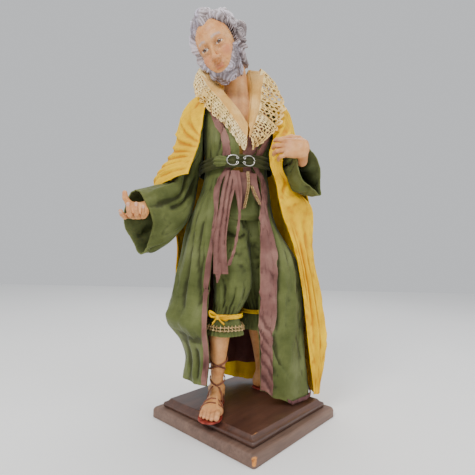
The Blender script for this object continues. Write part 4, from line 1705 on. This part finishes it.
FINGERS = [((17.5, 6.4), 17, 2.5), ((18.5, 2.1), 19, 2.6), ((18, -2.3), 17.5, 2.5), ((16, -6.4), 13.5, 2.1)]
BONES = (0.46, 0.3, 0.24)
RIGHT_HAND = dict(wrist=(-102, -46, 205), fingers=(-0.08, -0.82, -0.57), palm=(0.02, -0.5, 0.86),
                  left=False, spread=0.08, bends=[(18, 30, 25), (38, 38, 28), (44, 38, 28), (44, 34, 24)],
                  thumb=[(4, 5.5, 1.5, 3.2), (5, 10, 5.5, 2.9), (4.5, 12.5, 10, 2.5), (3, 13, 14, 2.2)],
                  forearm=(-91, -33, 212))
LEFT_HAND = dict(wrist=(43.9, -62, 259.3), fingers=(-0.95, 0.27, 0.12), palm=(0.26, 0.95, -0.08), left=True,
                 spread=0.13, bends=[(16, 28, 22), (20, 32, 24), (20, 32, 24), (24, 34, 24)],
                 thumb=[(2, 6, 2, 3.2), (8, 10.5, 3, 2.9), (15, 12, 4, 2.6), (23, 10.5, 6, 2.2)],
                 forearm=(45.6, -40, 254.5))


def tint(paint, colour, strength, amount):
    """Lays one more colour into a paint layer, point by point."""
    paint[:, :3] = lerp(paint[:, :3], np.array(colour), amount[:, None])
    paint[:, 3] = lerp(paint[:, 3], strength, amount)


def hand(name, spec):
    f = unit(spec["fingers"])
    n = unit(np.array(spec["palm"]) - f * np.dot(spec["palm"], f))
    t = np.cross(n, f) if spec["left"] else np.cross(f, n)
    wrist = np.array(spec["wrist"], float)

    def place(along, aside, lift):
        return wrist + f * along + t * aside + n * lift

    matrix = frame_of(f, t, n, wrist)
    forearm = np.array(spec["forearm"])
    corners = [place(*c) for c in itertools.product((-4, 40), (-12, 18), (-7, 24))]
    corners += [forearm - 7, forearm + 7]
    low, high = np.min(corners, 0) - 1, np.max(corners, 0) + 1
    field = Field(low, high, HAND_VOXEL)
    field.turned(matrix)
    nails = []
    field.value = field.egg((9.5, 0.2, -0.3), (11.5, 8.6, 3.9))
    field.add(field.cone((2, -4.4, 0), (15.5, -6.0, -0.2), 3.4, 2.7), 3)
    field.add(field.cone((2, 3.5, 0), (16, 6.0, -0.2), 3.6, 2.9), 3)
    field.add(field.cone((3, 5, 1.4), (9, 7.2, 2.2), 3.4, 2.6), 3)
    for k, ((along, aside), length, radius) in enumerate(FINGERS):
        bend, lift = 0.0, 0.0
        spread = spec["spread"] * (1.5 - k)
        finger = np.full(field.x.shape, 9.0, np.float32)
        start = (along - 5, aside * 0.93, -0.4)
        previous = (along, aside, lift)
        finger = melt(finger, field.cone(start, previous, radius * 0.92, radius * 1.03), 0)
        r = radius
        a, s, l = along, aside, lift
        for bone, share in enumerate(BONES):
            bend += spec["bends"][k][bone] * RAD
            step = length * share
            a, l, s = a + step * math.cos(bend), l + step * math.sin(bend), s + step * spread
            tip = radius * (1 - 0.1 * (bone + 1))
            middle = tuple((np.array(previous) + np.array((a, s, l))) / 2)
            finger = melt(finger, field.cone(previous, middle, r * 1.02, (r + tip) / 2 * 0.93), 0.5)
            finger = melt(finger, field.cone(middle, (a, s, l), (r + tip) / 2 * 0.93, tip), 0.5)
            previous, r = (a, s, l), tip
        # The nail lies on the back of the last bone.
        back = np.array([math.sin(bend), 0, -math.cos(bend)])
        head_way = np.array([math.cos(bend), 0, math.sin(bend)])
        at = np.array(previous) + back * (r * 0.8) + head_way * 0.5
        axes = np.stack([head_way, (0, 1, 0), back], 1)
        nails.append((at, axes, (2.0, 1.45, 0.75)))
        field.add(finger, 0.5)
    joints = spec["thumb"]
    thumb = np.full(field.x.shape, 9.0, np.float32)
    for a, b in zip(joints[:-1], joints[1:]):
        thumb = melt(thumb, field.cone(a[:3], b[:3], a[3], b[3]), 0.7)
    field.add(thumb, 2.2)
    end = np.array(joints[-1][:3], float)
    away = unit(end - np.array(joints[-2][:3], float))
    back = unit(np.cross(away, (0, 0, 1) if abs(away[2]) < 0.9 else (0, 1, 0)))
    back = back if back[1] > 0 or back[2] < 0 else -back
    nails.append((end + back * 1.8 + away * 0.3, np.stack([away, np.cross(back, away), back], 1),
                  (2.1, 1.6, 0.75)))
    for at, axes, size in nails:
        shape = field.egg(at, (size[0] + 0.28, size[1] + 0.28, size[2] + 0.2), axes)
        field.cut(np.maximum(shape, -field.egg(at - axes[:, 2] * 0.22, size, axes)), 0.12)
    # Creases of the palm and knuckles.
    for a, b in (((13.5, 6.5, 4.3), (16, -3, 4.1)), ((5, -3, 4.4), (14.5, 4.8, 4.6))):
        field.cut(field.cone(a, b, 0.35, 0.3), 1.0)
    inverse = matrix.inverted()
    elbow = inverse @ Vector(spec["forearm"])
    field.add(field.cone(tuple(elbow), (2, 0, 0), 5.3, 4.4), 3.5)
    points, faces = field.mesh()
    local = carried(inverse, points)
    paint = np.tile((0.60, 0.22, 0.13, 0.0), (len(points), 1))
    tips = smooth((local[:, 0] - 20) / 10) + smooth((local[:, 2] - 9) / 6)
    paint[:, 3] = 0.26 * np.clip(tips, 0, 1) + 0.16 * bell(local[:, 0], 16, 3) + 0.06
    for middle, way in ((4.25, 1), (-0.1, 0), (-4.35, -1)):
        gap = bell(local[:, 1], middle + way * spec["spread"] * (local[:, 0] - 18),
                   0.55) * smooth((local[:, 0] - 16) / 3)
        tint(paint, (0.32, 0.13, 0.08), 0.6, gap)
    for at, axes, size in nails:
        q = (local - at) @ axes / np.array(size)
        near = smooth((1.3 - np.linalg.norm(q, axis=1)) / 0.25)
        tint(paint, (0.66, 0.42, 0.33), 0.75, near)
    skin_piece(f"hand_{name}", f"{name}_hand", points, faces, paint)


# Legs, feet and sandals

SOLE = 1.6
FLOOR = PLINTH_TOP + SOLE + 0.7
TOES = [
    (46, 7, 12.5, 2.9), (47, 2.8, 11.5, 2.2), (46, -0.9, 10.8, 2), (45, -4.4, 10, 1.9),
    (43, -7.6, 9.4, 1.8)]
RIGHT_LEG = dict(heel=(-27.5, 0), toe=(-36.5, -58), inner=-1,
                 shin=[(-29, -8, 22, 5, 7), (-29.5, -12, 33, 6.4, 7), (-29, -15, 45, 6.3, 6.9),
                       (-28.5, -19, 65, 7.8, 8.4),
                       (-28, -22.5, 85, 9.8, 10.6), (-25.2, -25.2, 100, 9.4, 10),
                       (-24, -26, 107.4, 9, 9.6)])
LEFT_LEG = dict(heel=(13, 34), toe=(60, 6), inner=1,
                shin=[(20, 30, 22, 7, 5.6), (21, 29, 33, 7, 6.4), (20, 26, 45, 6.9, 6.3),
                      (17, 19, 65, 8.2, 8),
                      (13, 12, 85, 9.6, 9.6), (12, 9.6, 100, 9.6, 9.6), (11.5, 9, 107.4, 9.2, 9.2)])


def foot_frame(leg):
    ahead = unit([leg["toe"][0] - leg["heel"][0], leg["toe"][1] - leg["heel"][1], 0])
    aside = np.array([ahead[1], -ahead[0], 0])
    return ahead, aside, np.array([leg["heel"][0], leg["heel"][1], 0.0])


def leg(name, spec):
    ahead, aside, heel = foot_frame(spec)
    matrix = frame_of(ahead, aside * spec["inner"], (0, 0, 1), heel)
    ends = [heel + ahead * a + aside * s for a, s in ((-4, -12), (-4, 12), (61, -12), (61, 12))]
    shins = np.array(spec["shin"])
    low = np.minimum(np.min(ends, 0), shins[:, :3].min(0) - 11)
    high = np.maximum(np.max(ends, 0), shins[:, :3].max(0) + 11)
    low[2], high[2] = FLOOR - 1, 108.5
    field = Field(low, high, LEG_VOXEL)
    x, y, z = field.turned(matrix)
    # The heel, instep and ball of the foot.
    field.value = field.egg((6.5, 0, FLOOR + 6.5), (7.6, 6.4, 7.4))
    field.add(field.cone((9, 0, FLOOR + 9), (34, 1.0, FLOOR + 4.6), 6.6, 4.9), 5)
    field.add(field.egg((41, 1.2, FLOOR + 2.6), (10.5, 9.6, 4.9)), 5)
    field.add(field.egg((30, -3.6, FLOOR + 2.8), (15, 5.2, 4.4)), 5)
    field.add(field.ball((43.5, 6.4, FLOOR + 2.6), 3.6), 2.5)
    field.cut(field.egg((24, 9.6, FLOOR + 0.6), (12, 3.6, 3.2)), 3)
    level = np.array([np.interp(z[0, 0, :], shins[:, 2], shins[:, k]) for k in (0, 1, 3, 4)])
    dx, dy = x - level[0][None, None], y - level[1][None, None]
    k0 = np.sqrt((dx / level[2][None, None]) ** 2 + (dy / level[3][None, None]) ** 2)
    shin = ((k0 - 1) * np.minimum(level[2], level[3])[None, None]).astype(np.float32)
    shin = np.maximum(shin, (FLOOR + 3 - z).astype(np.float32))
    field.add(shin, 5)
    field.add(field.ball((11.5, 5.6, FLOOR + 13.5), 2.6), 3)
    field.add(field.ball((10.5, -5.6, FLOOR + 12), 2.5), 3)
    for k, (along, side, reach, r) in enumerate(TOES):
        tip = along + reach - r * 0.7
        knuckle = lerp(along, tip, 0.55)
        near = field.cone((along, side, FLOOR + r + 0.8), (knuckle, side, FLOOR + r + 1.2),
                          r * 0.95, r * 0.96)
        far = field.cone((knuckle, side, FLOOR + r + 1.2), (tip, side * 0.99, FLOOR + r - 0.1),
                         r * 0.94, r * 0.9)
        field.add(np.minimum(near, far), 0.7)
        nail = (tip + 0.6, side, FLOOR + r * 1.72)
        tilt = np.stack([(0.94, 0, -0.34), (0, 1, 0), (0.34, 0, 0.94)], 1)
        rim = field.egg(nail, (r * 0.72 + 0.25, r * 0.62 + 0.25, 0.8), tilt)
        plate = field.egg(np.array(nail) - tilt[:, 2] * 0.15, (r * 0.72, r * 0.62, 0.7), tilt)
        field.cut(np.maximum(rim, -plate), 0.1)
    for a, b in (((30, 3.2, FLOOR + 10.4), (43, 5.6, FLOOR + 7.0)),
                 ((30, -0.6, FLOOR + 9.8), (43, -2.4, FLOOR + 6.4))):
        field.add(field.cone(a, b, 0.8, 0.7), 1.8)
    field.value = np.maximum(field.value, (FLOOR - z).astype(np.float32))
    field.value = np.maximum(field.value, (z - 107.6).astype(np.float32))
    points, faces = field.mesh()
    local = carried(matrix.inverted(), points)
    paint = np.tile((0.60, 0.24, 0.14, 0.0), (len(points), 1))
    low_part = smooth((FLOOR + 26 - local[:, 2]) / 22)
    paint[:, 3] = 0.08 + 0.2 * smooth((local[:, 0] - 40) / 12) * low_part
    paint[:, 3] += 0.16 * bell(local[:, 2], FLOOR + 1.5, 3)
    between = np.zeros(len(points))
    for (_, s1, _, _), (_, s2, _, _) in zip(TOES[:-1], TOES[1:]):
        between += bell(local[:, 1], (s1 + s2) / 2, 0.55) * smooth((local[:, 0] - 46) / 3) * low_part
    tint(paint, (0.2, 0.08, 0.05), 0.6, np.clip(between, 0, 1))
    skin_piece(f"leg_{name}", f"{name}_leg", points, faces, paint)

    # The sole is two thin layers of leather with a rounded rim.
    edge = np.array([(-1, 4), (6, 7.4), (16, 7.6), (26, 7.8), (38, 10), (47, 10.6), (54, 9), (58.5, 4)],
                    float)
    outline = np.concatenate([edge, (edge * (1, -1))[::-1]])
    loop = spline(np.concatenate([outline, outline[:1]]), np.linspace(0, 1, 241))[:-1]
    centre = np.array([28.0, 0.0])
    rings = []
    for shrink, lift in ((0.02, 0), (0.9, 0), (0.35, 0.0), (0.0, 0.2), (-0.05, 0.62), (0.1, 0.78),
                         (0.1, 0.86), (-0.05, 1.0), (0.0, 1.38), (0.35, 1.58), (0.9, 1.6), (0.02, 1.6)):
        way = unit(loop - centre)
        p = loop - way * shrink if shrink != 0.02 else centre + (loop - centre) * 0.02
        rings.append(heel + ahead * p[:, :1] + aside * p[:, 1:] + np.array([0, 0, PLINTH_TOP + 0.35])
                     + np.array([0, 0, lift]))
    make(f"sole_{name}", f"{name}_sandal_sole", *capped(np.array(rings)), [RED_LEATHER], "leather_brown",
         crease=50, closed=True)


def laces():
    """Flat thin thongs wound round the shin and over the foot of the visible leg."""
    spec = RIGHT_LEG
    shins = np.array(spec["shin"])
    parts = []
    for sense in (1, -1):
        t = np.linspace(0, 1, 150)
        z = lerp(38, 68, t)
        a = (sense * t * 1.5 * 360 - 90) * RAD
        x, y, rx, ry = (np.interp(z, shins[:, 2], shins[:, k]) for k in (0, 1, 3, 4))
        lift = 0.75 + 0.35 * sense + 0.25
        parts.append(thong(stacked(x + (rx + lift) * cos(a), y + (ry + lift) * sin(a), z),
                           stacked(cos(a), sin(a), a * 0), 1.7, 0.7))
    ahead, aside, heel = foot_frame(spec)
    for start, end, height, bulge in ((12, 24, 17.2, 7.6), (24, 12, 17.2, 7.6), (33, 33, 10.6, 9.6),
                                      (39, 39, 9.0, 10.6)):
        t = np.linspace(0, 1, 60)
        b = lerp(-0.08, 1.08, t) * pi
        side = bulge * cos(b)
        lift = height * sin(np.clip(b, 0, pi)) ** 0.8 - 0.2
        along = lerp(start, end, t)
        p = heel + ahead * along[:, None] + aside * side[:, None] + np.array([0, 0, FLOOR])
        p[:, 2] += np.clip(lift, 0.2, None)
        out = aside * cos(b)[:, None] + np.array([0, 0, 1.0]) * sin(b)[:, None] + ahead * 0.15
        parts.append(thong(p, out, 1.9, 0.7))
    points, faces = gather(parts)
    make("sandal_thongs", "right_sandal_laces", points, faces, [LEATHER], "leather_brown", crease=60,
         closed=True)


def thong(path, out, width, thick):
    """A flat strap along a path, its face turned to out."""
    ahead = unit(np.gradient(path, axis=0))
    out = unit(out - ahead * (out * ahead).sum(-1, keepdims=True))
    side = np.cross(ahead, out)
    ring = []
    for a, b in ((-0.5, 0.2), (-0.42, 0.5), (0, 0.58), (0.42, 0.5), (0.5, 0.2), (0.42, -0.5),
                 (-0.42, -0.5)):
        ring.append(path + side * (a * width) + out * (b * thick))
    return capped(np.stack(ring, 1))


# Stage


def stage():
    bpy.ops.mesh.primitive_plane_add(size=3.0, location=(0, 0, 0))
    floor = bpy.context.object
    floor.name = "stage_floor"
    floor.data.materials.append(speckled("pale_floor", {0.3: (0.9, 0.9, 0.9), 0.7: (0.93, 0.93, 0.925)},
                                         3.0, 4.0, 0.6, 0.1, Specular_IOR_Level=0.2))
    world = bpy.data.worlds.new("soft_room")
    bpy.context.scene.world = world
    world.use_nodes = True
    world.node_tree.nodes["Background"].inputs["Color"].default_value = (0.95, 0.97, 1.0, 1)
    world.node_tree.nodes["Background"].inputs["Strength"].default_value = 0.7
    for name, at, width, power, colour in (
            ("key", (-0.6, -0.85, 1.0), 0.45, 13.0, (1.0, 0.98, 0.94)),
            ("fill", (0.95, -0.6, 0.6), 0.7, 6.5, (1.0, 0.99, 0.97)),
            ("top", (0.1, 0.35, 1.3), 0.8, 6.5, (1.0, 1.0, 1.0))):
        light = bpy.data.lights.new(name, "AREA")
        light.shape, light.size, light.energy, light.color = "SQUARE", width, power, colour
        obj = bpy.data.objects.new(name, light)
        obj.location = at
        obj.rotation_euler = (Vector((-0.01, 0, 0.2)) - Vector(at)).to_track_quat("-Z", "Y").to_euler()
        bpy.context.scene.collection.objects.link(obj)
    yaw, pitch, roll = 3.3 * RAD, 3.2 * RAD, 1.45 * RAD
    ahead = Vector((math.sin(yaw) * math.cos(pitch), math.cos(yaw) * math.cos(pitch), math.sin(pitch)))
    right = Vector((math.cos(yaw), -math.sin(yaw), 0))
    up = right.cross(ahead)
    turned_right = right * math.cos(roll) + up * math.sin(roll)
    turned_up = up * math.cos(roll) - right * math.sin(roll)
    data = bpy.data.cameras.new("camera")
    data.sensor_width, data.lens = 36.0, 27.28
    camera = bpy.data.objects.new("camera", data)
    camera.matrix_world = frame_of(turned_right, turned_up, -ahead, (-0.0333, -0.3744, 0.16125))
    bpy.context.scene.collection.objects.link(camera)
    bpy.context.scene.camera = camera


def main():
    plinth()
    head()
    hair()
    hand("right", RIGHT_HAND)
    hand("left", LEFT_HAND)
    leg("right", RIGHT_LEG)
    leg("left", LEFT_LEG)
    laces()
    shirt_and_waistcoat()
    tail_braids()
    breeches()
    garter(RIGHT_BREECH, "garter_right", "right_garter", True)
    garter(LEFT_BREECH, "garter_left", "left_garter", False)
    cuff_gimp()
    coat_and_bindings()
    sleeves()
    belt()
    hooks()
    sash()
    collar()
    lace()
    cloak()
    cloak_front()
    stage()


main()
